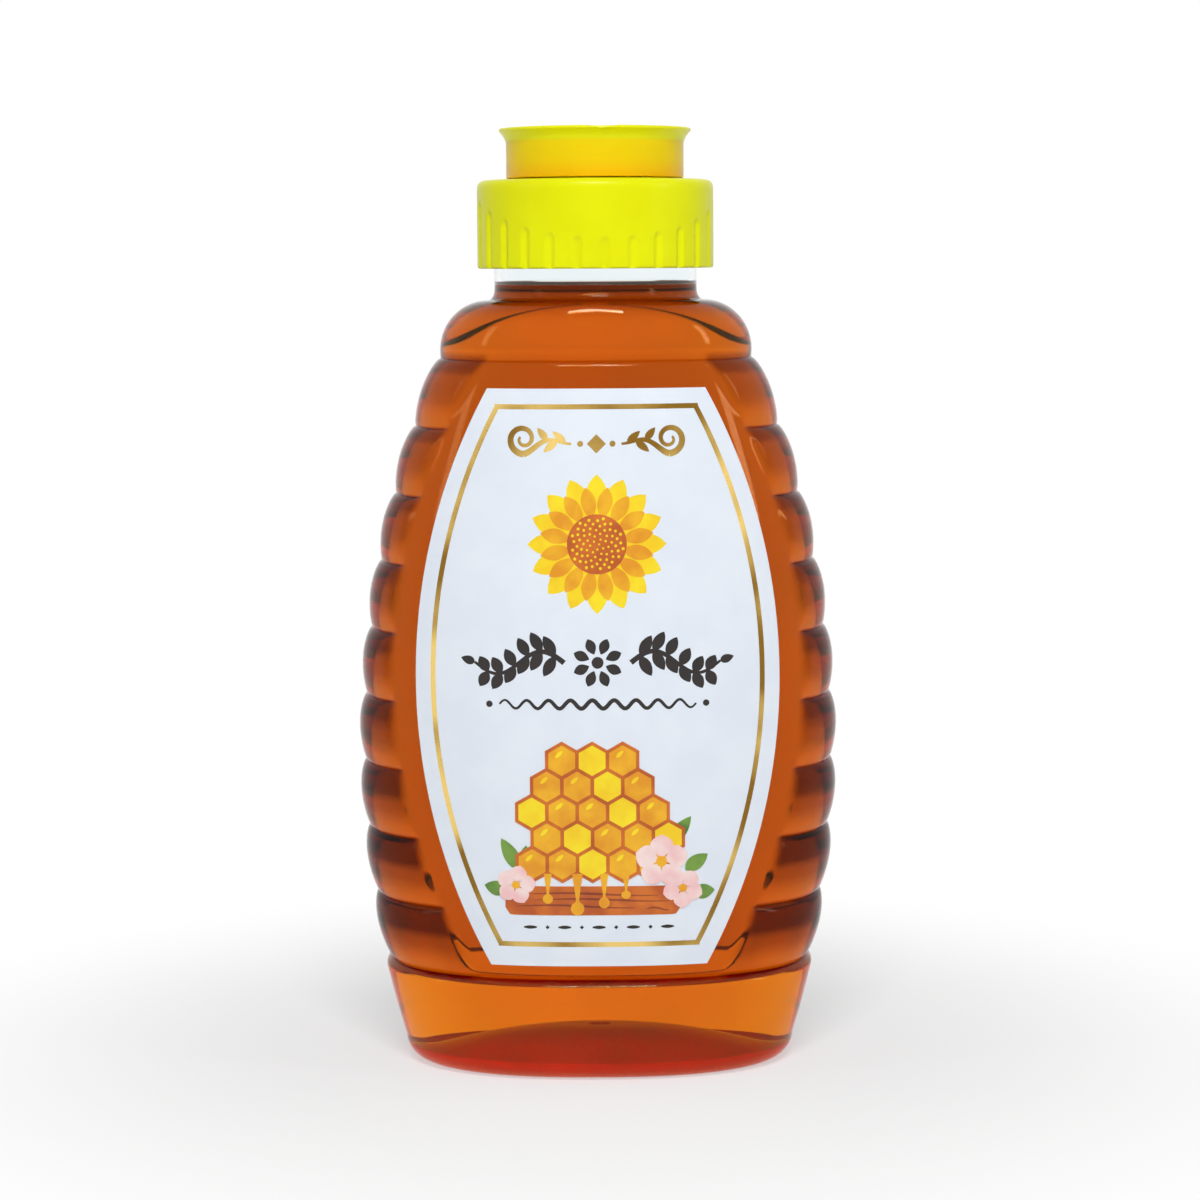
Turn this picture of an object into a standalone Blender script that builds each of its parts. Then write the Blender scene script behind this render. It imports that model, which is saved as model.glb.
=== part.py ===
"""Squeezable honey bottle with a screw-on flip-top closure.

An oval PET bottle, ribbed like a straw beehive on its two narrow sides, stands on a
flat ring round a push-up base. It is filled with honey to just above the shoulder and
carries a barrel-shaped label on its front. The closure is a screw collar with a spout,
a slit silicone valve held by a snap ring, a sealing liner, and a lid that flips back
on a living hinge.

Units are metres, +Z is up, the front faces -Y, and the origin is the middle of the
stand ring on the surface that the bottle stands on.
"""
from math import acos, cos, pi, radians, sin, sqrt

import bmesh
import bpy
from mathutils import Matrix, Vector

MM = 0.001

# Fits and clearances
SEAT_GAP = 0.3 * MM  # between pieces that touch
CUT_OVERRUN = 1.0 * MM  # how far a cutter runs past the faces it cuts

# Bottle body, measured over the crests of its ribs
BODY_HALF_WIDTH = 41.8 * MM
BODY_HALF_DEPTH = 26.4 * MM
WIDEST_HEIGHT = 55.0 * MM
BODY_CORNER_POWER = 2.4  # superellipse power of the body's plan; 2 is an ellipse
ROUND_POWER = 2.0
BODY_WALL = 0.6 * MM
RIB_COUNT = 9
RIB_PITCH = 11.64 * MM
RIB_DEPTH = 1.25 * MM
LOWEST_GROOVE_HEIGHT = 17.9 * MM
GROOVE_LIP = 1.5 * MM  # from the lowest groove down to the full belt below it

# Smooth label panel on the front and the back, a barrel shape between the ribs
PANEL_SIDE_MARGIN = 7.8 * MM  # from the widest side in to the panel's edge
PANEL_TOP_MARGIN = 9.0 * MM  # from the shoulder's side in to the panel's top corner
PANEL_RAMP = 1.4 * MM  # where the ribs run out at the panel's edge
PANEL_LEVEL_SHARE = 0.45  # of the rib depth, above the bottom of the grooves
PANEL_MIDDLE_HEIGHT = 69.0 * MM

# Base: rounded heel, flat stand ring, push-up dome with the moulding nub
HEEL_RADIUS = 4.0 * MM
STAND_RING_WIDTH = 1.8 * MM
PUSH_UP_STEP = 1.5 * MM
PUSH_UP_HEIGHT = 6.5 * MM
NUB_RADIUS = 2.4 * MM
NUB_HEIGHT = 1.2 * MM

# Shoulder and neck
SHOULDER_HALF_WIDTH = 27.0 * MM
SHOULDER_HALF_DEPTH = 21.0 * MM
SHOULDER_SIDE_STEP = 1.2 * MM  # how far the barrel's top stands out past the shoulder
SHOULDER_FRONT_STEP = 0.8 * MM
SHOULDER_WALL_HEIGHT = 1.4 * MM  # upright part above the highest groove
SHOULDER_ROUND_HEIGHT = 8.5 * MM
NECK_RADIUS = 17.5 * MM  # outside of a 38 mm finish, at the root of its thread
NECK_ROOT_FLARE = 1.1 * MM
NECK_ROOT_RISE = 2.0 * MM
NECK_LENGTH = 17.7 * MM  # from the shoulder's top to the mouth
NECK_WALL = 1.2 * MM
FILL_ABOVE_ROOT = 0.5 * MM  # honey level over the root of the neck

# Label
LABEL_THICKNESS = 0.25 * MM
LABEL_SIDE_MARGIN = 3.2 * MM  # inside the panel's edge
LABEL_ARC_EXTRA = 3.6 * MM  # its side arcs are flatter than the panel's
LABEL_TOP_MARGIN = 4.6 * MM  # below the highest groove
LABEL_BOTTOM_MARGIN = 2.6 * MM  # above the lowest groove

# Closure collar and deck
THREAD_DEPTH = 1.25 * MM  # the neck's thread stands this far out of the neck
THREAD_CLEARANCE = 0.35 * MM
COLLAR_WALL = 1.3 * MM
COLLAR_HEIGHT = 15.1 * MM
COLLAR_TOP_ROUND = 1.6 * MM
COLLAR_BOTTOM_CHAMFER = 0.5 * MM
DECK_THICKNESS = 1.5 * MM
STOP_ANGLE = radians(4.6)  # where the thread stops the closure, turned to the right
FLUTE_COUNT = 27
FLUTE_RADIUS = 0.8 * MM
FLUTE_DEPTH = 0.45 * MM
FLUTE_FRONT_HEIGHT = 4.4 * MM  # the flutes are shortest at the front
FLUTE_SWOOP = 7.5 * MM  # how fast the line of their tops climbs to the back
FLUTE_TOP_MARGIN = 3.0 * MM

# Sealing liner
LINER_THICKNESS = 0.7 * MM
LINER_WIDTH = 7.6 * MM

# Valve, its pocket and its snap ring
POCKET_RADIUS = 8.0 * MM
RETAINER_THICKNESS = 1.0 * MM
RETAINER_WIDTH = 2.0 * MM
VALVE_FLANGE_THICKNESS = 1.0 * MM
VALVE_SLEEVE_HEIGHT = 1.9 * MM
VALVE_SLEEVE_THICKNESS = 0.5 * MM
VALVE_HEAD_THICKNESS = 0.8 * MM
VALVE_DISH = 0.7 * MM
SLIT_LENGTH = 6.4 * MM
SLIT_WIDTH = 0.35 * MM

# Spout
BOSS_WALL = 1.2 * MM
BOSS_ROOF = 1.1 * MM
ORIFICE_RADIUS = 5.3 * MM
SPOUT_WALL = 1.9 * MM
SPOUT_HEIGHT = 2.8 * MM
SPOUT_LIP = 0.5 * MM
ORIFICE_CHAMFER = 0.3 * MM

# Flip lid
LID_INSET = 5.1 * MM  # from the collar's side in to the lid's wall
LID_HEIGHT = 8.5 * MM
LID_WALL = 1.1 * MM
LID_ROOF = 1.2 * MM
LID_FLARE = 1.3 * MM  # how far its top rim stands out
LID_FLARE_HEIGHT = 2.3 * MM
LID_EDGE = 0.4 * MM
PLUG_WALL = 1.0 * MM
PLUG_TAPER = 0.35 * MM
PLUG_REACH = 1.1 * MM  # how deep the sealing plug enters the spout
NOTCH_WIDTH = 4.7 * MM
NOTCH_DEPTH = 0.5 * MM

# Living hinge at the back of the lid
HINGE_OFFSET = 1.7 * MM  # from the lid's wall back to the axis
HINGE_HALF_WIDTH = 6.5 * MM
HINGE_LEAF_THICKNESS = 0.5 * MM
HINGE_SLOT_PLACE = 3.2 * MM
HINGE_SLOT_WIDTH = 0.9 * MM
HINGE_SLOT_LENGTH = 1.1 * MM
HINGE_RAIL_WIDTH = 1.0 * MM
HINGE_RAIL_HEIGHT = 0.5 * MM

# Heights worked out from the sizes above
HIGHEST_GROOVE_HEIGHT = LOWEST_GROOVE_HEIGHT + RIB_COUNT * RIB_PITCH
SHOULDER_START = HIGHEST_GROOVE_HEIGHT + SHOULDER_WALL_HEIGHT
SHOULDER_TOP = SHOULDER_START + SHOULDER_ROUND_HEIGHT
NECK_START = SHOULDER_TOP + NECK_ROOT_RISE
FILL_HEIGHT = NECK_START + FILL_ABOVE_ROOT
MOUTH_HEIGHT = SHOULDER_TOP + NECK_LENGTH
LINER_BOTTOM = MOUTH_HEIGHT + SEAT_GAP
DECK_UNDERSIDE = LINER_BOTTOM + LINER_THICKNESS + SEAT_GAP
DECK_TOP = DECK_UNDERSIDE + DECK_THICKNESS
COLLAR_BOTTOM = DECK_TOP - COLLAR_HEIGHT
VALVE_FLANGE_BOTTOM = DECK_UNDERSIDE + RETAINER_THICKNESS + SEAT_GAP
VALVE_FLANGE_TOP = VALVE_FLANGE_BOTTOM + VALVE_FLANGE_THICKNESS
POCKET_TOP = VALVE_FLANGE_TOP + SEAT_GAP
BOSS_TOP = POCKET_TOP + BOSS_ROOF
SPOUT_TOP = BOSS_TOP + SPOUT_HEIGHT
LID_BOTTOM = DECK_TOP + SEAT_GAP
LID_TOP = LID_BOTTOM + LID_HEIGHT

# Radii worked out from the sizes above
COLLAR_BORE = NECK_RADIUS + THREAD_DEPTH + THREAD_CLEARANCE
COLLAR_RADIUS = COLLAR_BORE + COLLAR_WALL
LID_RADIUS = COLLAR_RADIUS - LID_INSET
BOSS_RADIUS = POCKET_RADIUS + BOSS_WALL
SPOUT_RADIUS = ORIFICE_RADIUS + SPOUT_WALL
HINGE_AXIS_BACK = LID_RADIUS + HINGE_OFFSET
HINGE_AXIS_HEIGHT = DECK_TOP + SEAT_GAP + HINGE_LEAF_THICKNESS / 2
PANEL_HALF_WIDTH = BODY_HALF_WIDTH - PANEL_SIDE_MARGIN

# Facets
SIDE_SPANS = 8
PANEL_SPANS = 6
HEEL_STEPS = 3
SHOULDER_STEPS = 4
LABEL_ROWS = 12
LABEL_COLUMNS = 10
ROUND_FACETS = 54
SMALL_FACETS = 32
CUTTER_FACETS = 8
SCOOP_FACETS = 40

# Where the rings of one rib lie, from its upper groove down, and how far the rib
# swells there: quickly below the groove, then fading slowly to the next one
RIB_RING_SHARES = (0.0, 0.14, 0.42, 0.75)
RIB_RISE_POWER = 0.8
RIB_ROUND_POWER = 0.7

# The push-up dome: each ring's size and height, as shares of its edge and its height
DOME_SHARES = ((0.72, 0.62), (0.42, 0.92))
NUB_TAPER_SHARE = 0.7


def remove_everything():
    for old in list(bpy.data.objects):
        bpy.data.objects.remove(old, do_unlink=True)


def make_material(name, colour, roughness, transmission=0.0, ior=1.5):
    material = bpy.data.materials.new(name)
    material.use_nodes = True
    shader = material.node_tree.nodes["Principled BSDF"]
    shader.inputs["Base Color"].default_value = (*colour, 1.0)
    shader.inputs["Roughness"].default_value = roughness
    shader.inputs["Metallic"].default_value = 0.0
    shader.inputs["Transmission Weight"].default_value = transmission
    shader.inputs["IOR"].default_value = ior
    material.diffuse_color = (*colour, 1.0)
    return material


def object_from(bm, name, material, parent=None, smooth_angle=radians(35)):
    """Finish a bmesh as a named object with one material and smooth round faces."""
    bmesh.ops.recalc_face_normals(bm, faces=bm.faces)
    mesh = bpy.data.meshes.new(name)
    bm.to_mesh(mesh)
    bm.free()
    mesh.shade_smooth()
    mesh.set_sharp_from_angle(angle=smooth_angle)
    thing = bpy.data.objects.new(name, mesh)
    thing.data.materials.append(material)
    bpy.context.scene.collection.objects.link(thing)
    thing.parent = parent
    return thing


def guide_from(bm, name, parent):
    """A hidden shape that cuts or extends another piece."""
    guide = object_from(bm, name, bpy.data.materials["guide"], parent)
    guide.hide_render = True
    guide.display_type = "WIRE"
    return guide


def combine(thing, guide, name, operation="DIFFERENCE"):
    """Cut the guide's shape out of the thing, or join it on."""
    step = thing.modifiers.new(name, "BOOLEAN")
    step.operation = operation
    step.solver = "EXACT"
    step.object = guide


def make_empty(name, place, parent=None, turn=0.0):
    empty = bpy.data.objects.new(name, None)
    bpy.context.scene.collection.objects.link(empty)
    empty.parent = parent
    empty.location = place
    empty.rotation_euler = (0.0, 0.0, turn)
    return empty


# Plan outline and barrel arcs of the body


def arc_drop(distance, radius):
    """How far an arc of this radius falls away at a distance from its middle."""
    return radius - sqrt(radius * radius - distance * distance)


def arc_radius(distance, drop):
    """The radius of the arc that falls away by the drop at a distance from its middle."""
    return (distance * distance + drop * drop) / (2.0 * drop)


# The barrel arcs reach from the widest height to just outside the shoulder, and the
# panel's side arcs run from its widest place to its top corners
BARREL_RISE = HIGHEST_GROOVE_HEIGHT - WIDEST_HEIGHT
SIDE_ARC_RADIUS = arc_radius(
    BARREL_RISE, BODY_HALF_WIDTH - SHOULDER_HALF_WIDTH - SHOULDER_SIDE_STEP
)
FRONT_ARC_RADIUS = arc_radius(
    BARREL_RISE, BODY_HALF_DEPTH - SHOULDER_HALF_DEPTH - SHOULDER_FRONT_STEP
)
PANEL_ARC_RADIUS = arc_radius(
    HIGHEST_GROOVE_HEIGHT - PANEL_MIDDLE_HEIGHT,
    PANEL_HALF_WIDTH - SHOULDER_HALF_WIDTH + PANEL_TOP_MARGIN,
)
LABEL_ARC_RADIUS = PANEL_ARC_RADIUS + LABEL_ARC_EXTRA


def crest_half_axes(height):
    """Half width and half depth of the body over its rib crests, at one height."""
    away = height - WIDEST_HEIGHT
    return (
        BODY_HALF_WIDTH - arc_drop(away, SIDE_ARC_RADIUS),
        BODY_HALF_DEPTH - arc_drop(away, FRONT_ARC_RADIUS),
    )


def panel_half_width(height):
    away = height - PANEL_MIDDLE_HEIGHT
    return PANEL_HALF_WIDTH - arc_drop(away, PANEL_ARC_RADIUS)


def signed_power(value, power):
    return (abs(value) ** power) * (1.0 if value >= 0.0 else -1.0)


def plan_point(half_width, half_depth, power, turn, height):
    """A point of the superellipse outline; turn runs from +X towards +Y."""
    return Vector((
        half_width * signed_power(cos(turn), 2.0 / power),
        half_depth * signed_power(sin(turn), 2.0 / power),
        height,
    ))


def turn_at(across, half_width, power):
    """The turn at which the outline lies this far across from the middle."""
    return acos((across / half_width) ** (power / 2.0))


def column_turns(height):
    """Turns of the outline's columns, with one at each edge of both label panels.

    Each comes with a share that is 1 on the ribbed sides and 0 on the smooth panels.
    """
    height = min(max(height, LOWEST_GROOVE_HEIGHT), HIGHEST_GROOVE_HEIGHT)
    half_width = crest_half_axes(height)[0] - RIB_DEPTH
    edge = panel_half_width(height)
    panel_turn = turn_at(edge, half_width, BODY_CORNER_POWER)
    ramp_turn = turn_at(edge + PANEL_RAMP, half_width, BODY_CORNER_POWER)
    turns = []
    for half in range(2):
        start = half * pi
        for step in range(SIDE_SPANS + 1):
            turns.append((start + ramp_turn * (2.0 * step / SIDE_SPANS - 1.0), 1.0))
        sweep = pi - 2.0 * panel_turn
        for step in range(PANEL_SPANS + 1):
            turns.append((start + panel_turn + sweep * step / PANEL_SPANS, 0.0))
    return turns


def outline_ring(height, axes, power=BODY_CORNER_POWER, side=0.0, front=0.0):
    """One ring of the body, swelled by the side and front amounts beyond its axes."""
    ring = []
    for turn, side_share in column_turns(height):
        swell = side * side_share + front * (1.0 - side_share)
        ring.append(plan_point(axes[0] + swell, axes[1] + swell, power, turn, height))
    return ring


# Rings of the body, from the middle of the base up


def base_rings():
    """The nub, the push-up dome, the flat stand ring, the heel and the smooth belt."""
    foot_axes = crest_half_axes(HEEL_RADIUS)
    stand_inner = HEEL_RADIUS + STAND_RING_WIDTH
    dome_edge = stand_inner + PUSH_UP_STEP
    dome_axes = [axis - dome_edge for axis in foot_axes]

    def ring(height, axes, power=BODY_CORNER_POWER):
        return outline_ring(height, axes, power)

    nub_tip = NUB_RADIUS * NUB_TAPER_SHARE
    rings = [
        ring(PUSH_UP_HEIGHT - NUB_HEIGHT, (nub_tip, nub_tip), ROUND_POWER),
        ring(PUSH_UP_HEIGHT, (NUB_RADIUS, NUB_RADIUS), ROUND_POWER),
    ]
    for size_share, height_share in reversed(DOME_SHARES):
        axes = [axis * size_share for axis in dome_axes]
        rings.append(ring(PUSH_UP_HEIGHT * height_share, axes))
    rings.append(ring(PUSH_UP_STEP, dome_axes))
    rings.append(ring(0.0, [axis - stand_inner for axis in foot_axes]))
    for step in range(HEEL_STEPS + 1):
        bend = pi / 2 * (1.0 - step / HEEL_STEPS)
        inset = HEEL_RADIUS * (1.0 - cos(bend))
        height = HEEL_RADIUS * (1.0 - sin(bend))
        rings.append(ring(height, [axis - inset for axis in foot_axes]))
    belt_top = LOWEST_GROOVE_HEIGHT - GROOVE_LIP
    for height in ((HEEL_RADIUS + belt_top) / 2, belt_top):
        rings.append(ring(height, crest_half_axes(height)))
    return rings


def rib_swell(share):
    """How far a rib stands out of its grooves, from 0 to 1, going down from its top."""
    return sin(pi * share ** RIB_RISE_POWER) ** RIB_ROUND_POWER if share else 0.0


def groove_axes(height):
    return [axis - RIB_DEPTH for axis in crest_half_axes(height)]


def rib_rings():
    """All the ribs, which swell on the sides and run out at the label panels."""
    rings = [outline_ring(LOWEST_GROOVE_HEIGHT, groove_axes(LOWEST_GROOVE_HEIGHT))]
    panel = RIB_DEPTH * PANEL_LEVEL_SHARE
    for rib in range(RIB_COUNT):
        top = LOWEST_GROOVE_HEIGHT + (rib + 1) * RIB_PITCH
        highest = rib == RIB_COUNT - 1
        for share in reversed(RIB_RING_SHARES):
            height = top - share * RIB_PITCH
            side = RIB_DEPTH * rib_swell(share)
            front = panel
            if highest and share <= RIB_RING_SHARES[1]:
                front = side
            if highest and not share:
                continue
            rings.append(outline_ring(height, groove_axes(height), side=side, front=front))
    return rings


def shoulder_rings(end_height):
    """The shoulder, rounding in from its oval wall to the round neck, up to a height."""
    shoulder = (SHOULDER_HALF_WIDTH, SHOULDER_HALF_DEPTH)
    root = NECK_RADIUS + NECK_ROOT_FLARE
    rings = [outline_ring(HIGHEST_GROOVE_HEIGHT, shoulder)]
    for step in range(SHOULDER_STEPS + 1):
        bend = pi / 2 * step / SHOULDER_STEPS
        height = SHOULDER_START + SHOULDER_ROUND_HEIGHT * sin(bend)
        axes = [root + (axis - root) * cos(bend) for axis in shoulder]
        power = ROUND_POWER + (BODY_CORNER_POWER - ROUND_POWER) * cos(bend)
        rings.append(outline_ring(height, axes, power))
    bend = pi / 4
    fillet_out = NECK_ROOT_FLARE * (1.0 - sin(bend))
    fillet_up = NECK_ROOT_RISE * (1.0 - cos(bend))
    for out, up in ((fillet_out, fillet_up), (0.0, NECK_ROOT_RISE)):
        radius = NECK_RADIUS + out
        rings.append(outline_ring(SHOULDER_TOP + up, (radius, radius), ROUND_POWER))
    rings.append(outline_ring(end_height, (NECK_RADIUS, NECK_RADIUS), ROUND_POWER))
    return rings


def wall_at(height):
    """Wall thickness: thin where the bottle is blown, thick in the moulded neck."""
    share = (height - SHOULDER_TOP) / NECK_ROOT_RISE
    share = min(max(share, 0.0), 1.0)
    return BODY_WALL + (NECK_WALL - BODY_WALL) * share


def skin_from(rings):
    """An open skin through the rings, closed at its first ring by a middle point."""
    bm = bmesh.new()
    rows = [[bm.verts.new(point) for point in ring] for ring in rings]
    middle = bm.verts.new((0.0, 0.0, rings[0][0].z))
    count = len(rows[0])
    for column in range(count):
        beside = (column + 1) % count
        bm.faces.new((middle, rows[0][beside], rows[0][column]))
        for lower, upper in zip(rows, rows[1:]):
            bm.faces.new((lower[column], lower[beside], upper[beside], upper[column]))
    bm.normal_update()
    return bm


def shifted_points(bm, distance_at):
    """Each vertex moved along its normal so that the faces keep that distance."""
    points = []
    for vert in bm.verts:
        distance = distance_at(vert.co.z)
        points.append(vert.co + vert.normal * (distance * vert.calc_shell_factor()))
    return points


def shell_from(bm, near_at, far_at):
    """A closed shell between two shifted copies of an open skin; near lies inside."""
    near_points = shifted_points(bm, near_at)
    far_points = shifted_points(bm, far_at)
    shell = bmesh.new()
    near = [shell.verts.new(point) for point in near_points]
    far = [shell.verts.new(point) for point in far_points]
    for face in bm.faces:
        order = [vert.index for vert in face.verts]
        shell.faces.new([far[index] for index in order])
        shell.faces.new([near[index] for index in reversed(order)])
    for edge in bm.edges:
        if edge.is_boundary:
            start, end = (vert.index for vert in edge.verts)
            shell.faces.new((near[start], near[end], far[end], far[start]))
    bm.free()
    return shell


def make_bottle(material):
    skin = skin_from(base_rings() + rib_rings() + shoulder_rings(MOUTH_HEIGHT))
    skin.verts.index_update()
    shell = shell_from(skin, lambda height: -wall_at(height), lambda height: 0.0)
    return object_from(shell, "bottle_body", material)


def make_honey(material):
    """The fill: the bottle's inside up to its level, plain behind the ribs."""
    grooves = []
    for groove in range(RIB_COUNT):
        height = LOWEST_GROOVE_HEIGHT + groove * RIB_PITCH
        grooves.append(outline_ring(height, groove_axes(height)))
    skin = skin_from(base_rings() + grooves + shoulder_rings(FILL_HEIGHT))
    inner = shifted_points(skin, lambda height: -wall_at(height) - SEAT_GAP)
    for vert, point in zip(skin.verts, inner):
        vert.co = point
    rim = [edge for edge in skin.edges if edge.is_boundary]
    bmesh.ops.contextual_create(skin, geom=rim)
    return object_from(skin, "honey", material)


# Label


def make_label(material):
    """A barrel-shaped sheet bent to the front panel."""
    bottom = LOWEST_GROOVE_HEIGHT + LABEL_BOTTOM_MARGIN
    top = HIGHEST_GROOVE_HEIGHT - LABEL_TOP_MARGIN
    middle = (bottom + top) / 2
    widest = PANEL_HALF_WIDTH - LABEL_SIDE_MARGIN
    level = RIB_DEPTH * PANEL_LEVEL_SHARE
    sheet = bmesh.new()
    rows = []
    for row in range(LABEL_ROWS + 1):
        height = bottom + (top - bottom) * row / LABEL_ROWS
        half_width = widest - arc_drop(height - middle, LABEL_ARC_RADIUS)
        axes = [axis + level for axis in groove_axes(height)]
        first = -turn_at(half_width, axes[0], BODY_CORNER_POWER)
        sweep = -pi - 2.0 * first
        verts = []
        for column in range(LABEL_COLUMNS + 1):
            turn = first + sweep * column / LABEL_COLUMNS
            verts.append(sheet.verts.new(
                plan_point(axes[0], axes[1], BODY_CORNER_POWER, turn, height)
            ))
        rows.append(verts)
    for lower, upper in zip(rows, rows[1:]):
        for column in range(LABEL_COLUMNS):
            sheet.faces.new(
                (lower[column + 1], lower[column], upper[column], upper[column + 1])
            )
    sheet.normal_update()
    sheet.verts.index_update()
    front_out = LABEL_THICKNESS + SEAT_GAP
    shell = shell_from(sheet, lambda height: SEAT_GAP, lambda height: front_out)
    return object_from(shell, "front_label", material)


# Closure


def turned(name, outline, material, parent, facets, floor=0.0):
    """A solid turned about Z from a closed outline of (radius, height) points.

    Heights are counted from floor, and a radius of zero closes on the axis.
    """
    bm = bmesh.new()
    verts = [bm.verts.new((radius, 0.0, height - floor)) for radius, height in outline]
    edges = [bm.edges.new(pair) for pair in zip(verts, verts[1:] + verts[:1])]
    bmesh.ops.spin(
        bm, geom=verts + edges, cent=(0, 0, 0), axis=(0, 0, 1), angle=2 * pi,
        steps=facets, use_merge=True,
    )
    bmesh.ops.remove_doubles(bm, verts=bm.verts, dist=SEAT_GAP / 100)
    on_axis = [edge for edge in bm.edges if not edge.link_faces]
    bmesh.ops.delete(bm, geom=on_axis, context="EDGES")
    return object_from(bm, name, material, parent)


def quarter_round(radius, height, size, steps=3):
    """Points of an outer top edge, from the upright face to the top face."""
    points = []
    for step in range(steps + 1):
        bend = pi / 2 * step / steps
        points.append((
            radius - size * (1.0 - cos(bend)),
            height - size * (1.0 - sin(bend)),
        ))
    return points


def box_mesh(low, high):
    """A box between two corners."""
    bm = bmesh.new()
    size = [far - near for near, far in zip(low, high)]
    middle = [(near + far) / 2 for near, far in zip(low, high)]
    place = Matrix.Translation(middle) @ Matrix.Diagonal((*size, 1.0))
    bmesh.ops.create_cube(bm, size=1.0, matrix=place)
    return bm


def flute_height(turn):
    """The line of the flutes' tops climbs from the front to the back."""
    climb = FLUTE_FRONT_HEIGHT + FLUTE_SWOOP * (1.0 - cos(turn))
    return min(climb, COLLAR_HEIGHT - FLUTE_TOP_MARGIN)


def flute_cutter(parent, floor):
    """Upright rods that cut the flutes out of the collar's side."""
    bm = bmesh.new()
    reach = COLLAR_RADIUS + FLUTE_RADIUS - FLUTE_DEPTH
    for flute in range(FLUTE_COUNT):
        turn = 2 * pi * flute / FLUTE_COUNT
        low = COLLAR_BOTTOM - CUT_OVERRUN
        high = COLLAR_BOTTOM + flute_height(turn)
        middle = (reach * sin(turn), -reach * cos(turn), (low + high) / 2 - floor)
        bmesh.ops.create_cone(
            bm, cap_ends=True, segments=CUTTER_FACETS, radius1=FLUTE_RADIUS,
            radius2=FLUTE_RADIUS, depth=high - low, matrix=Matrix.Translation(middle),
        )
    return guide_from(bm, "flute_cutter", parent)


def make_closure_base(material, parent, floor):
    """Collar, deck, valve pocket and spout in one turned piece, with its hinge rail."""
    outline = [
        (COLLAR_BORE, COLLAR_BOTTOM),
        (COLLAR_RADIUS - COLLAR_BOTTOM_CHAMFER, COLLAR_BOTTOM),
        (COLLAR_RADIUS, COLLAR_BOTTOM + COLLAR_BOTTOM_CHAMFER),
    ]
    outline += quarter_round(COLLAR_RADIUS, DECK_TOP, COLLAR_TOP_ROUND)
    outline += [
        (BOSS_RADIUS, DECK_TOP),
        (BOSS_RADIUS, BOSS_TOP),
        (SPOUT_RADIUS, BOSS_TOP),
    ]
    outline += quarter_round(SPOUT_RADIUS, SPOUT_TOP, SPOUT_LIP, steps=2)
    outline += [
        (ORIFICE_RADIUS + ORIFICE_CHAMFER, SPOUT_TOP),
        (ORIFICE_RADIUS, SPOUT_TOP - ORIFICE_CHAMFER),
        (ORIFICE_RADIUS, POCKET_TOP),
        (POCKET_RADIUS, POCKET_TOP),
        (POCKET_RADIUS, DECK_UNDERSIDE),
        (COLLAR_BORE, DECK_UNDERSIDE),
    ]
    base = turned("closure_base", outline, material, parent, ROUND_FACETS, floor)
    combine(base, flute_cutter(parent, floor), "flutes")

    rail_front = HINGE_AXIS_BACK + HINGE_LEAF_THICKNESS / 2 + SEAT_GAP
    rail_back = rail_front + HINGE_RAIL_WIDTH
    rail_foot = DECK_UNDERSIDE + DECK_THICKNESS / 2 - floor
    rail_top = DECK_TOP + HINGE_RAIL_HEIGHT - floor
    rail = box_mesh(
        (-HINGE_HALF_WIDTH, rail_front, rail_foot), (HINGE_HALF_WIDTH, rail_back, rail_top)
    )
    combine(base, guide_from(rail, "hinge_rail_shape", parent), "hinge_rail", "UNION")
    return base


def make_valve(material, parent, floor):
    """A dished silicone head on a thin sleeve, cut crosswise so that honey opens it."""
    flange_radius = POCKET_RADIUS - SEAT_GAP
    sleeve_radius = ORIFICE_RADIUS - SEAT_GAP
    inner = sleeve_radius - VALVE_SLEEVE_THICKNESS
    rim_top = VALVE_FLANGE_TOP + VALVE_SLEEVE_HEIGHT
    dish_floor = rim_top - VALVE_DISH
    outline = [
        (0.0, dish_floor - VALVE_HEAD_THICKNESS),
        (inner / 2, dish_floor - VALVE_HEAD_THICKNESS + VALVE_DISH / 4),
        (inner, rim_top - VALVE_HEAD_THICKNESS),
        (inner, VALVE_FLANGE_BOTTOM),
        (flange_radius, VALVE_FLANGE_BOTTOM),
        (flange_radius, VALVE_FLANGE_TOP),
        (sleeve_radius, VALVE_FLANGE_TOP),
        (sleeve_radius, rim_top),
        (inner, rim_top),
        (inner / 2, dish_floor + VALVE_DISH / 4),
        (0.0, dish_floor),
    ]
    valve = turned("silicone_valve", outline, material, parent, SMALL_FACETS, floor)
    low = dish_floor - VALVE_HEAD_THICKNESS - CUT_OVERRUN - floor
    high = rim_top + CUT_OVERRUN - floor
    for index, (across, along) in enumerate((
        (SLIT_LENGTH / 2, SLIT_WIDTH / 2),
        (SLIT_WIDTH / 2, SLIT_LENGTH / 2),
    )):
        slit = box_mesh((-across, -along, low), (across, along, high))
        cutter = guide_from(slit, f"slit_cutter_{index + 1}", parent)
        combine(valve, cutter, f"slit_{index + 1}")
    return valve


def ring_outline(inner, outer, bottom, top):
    return [(inner, bottom), (outer, bottom), (outer, top), (inner, top)]


def make_retainer(material, parent, floor):
    outer = POCKET_RADIUS - SEAT_GAP
    outline = ring_outline(
        outer - RETAINER_WIDTH, outer, DECK_UNDERSIDE, DECK_UNDERSIDE + RETAINER_THICKNESS
    )
    return turned("valve_retainer", outline, material, parent, SMALL_FACETS, floor)


def make_liner(material, parent, floor):
    outer = COLLAR_BORE - SEAT_GAP
    outline = ring_outline(
        outer - LINER_WIDTH, outer, LINER_BOTTOM, LINER_BOTTOM + LINER_THICKNESS
    )
    return turned("sealing_liner", outline, material, parent, ROUND_FACETS, floor)


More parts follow.
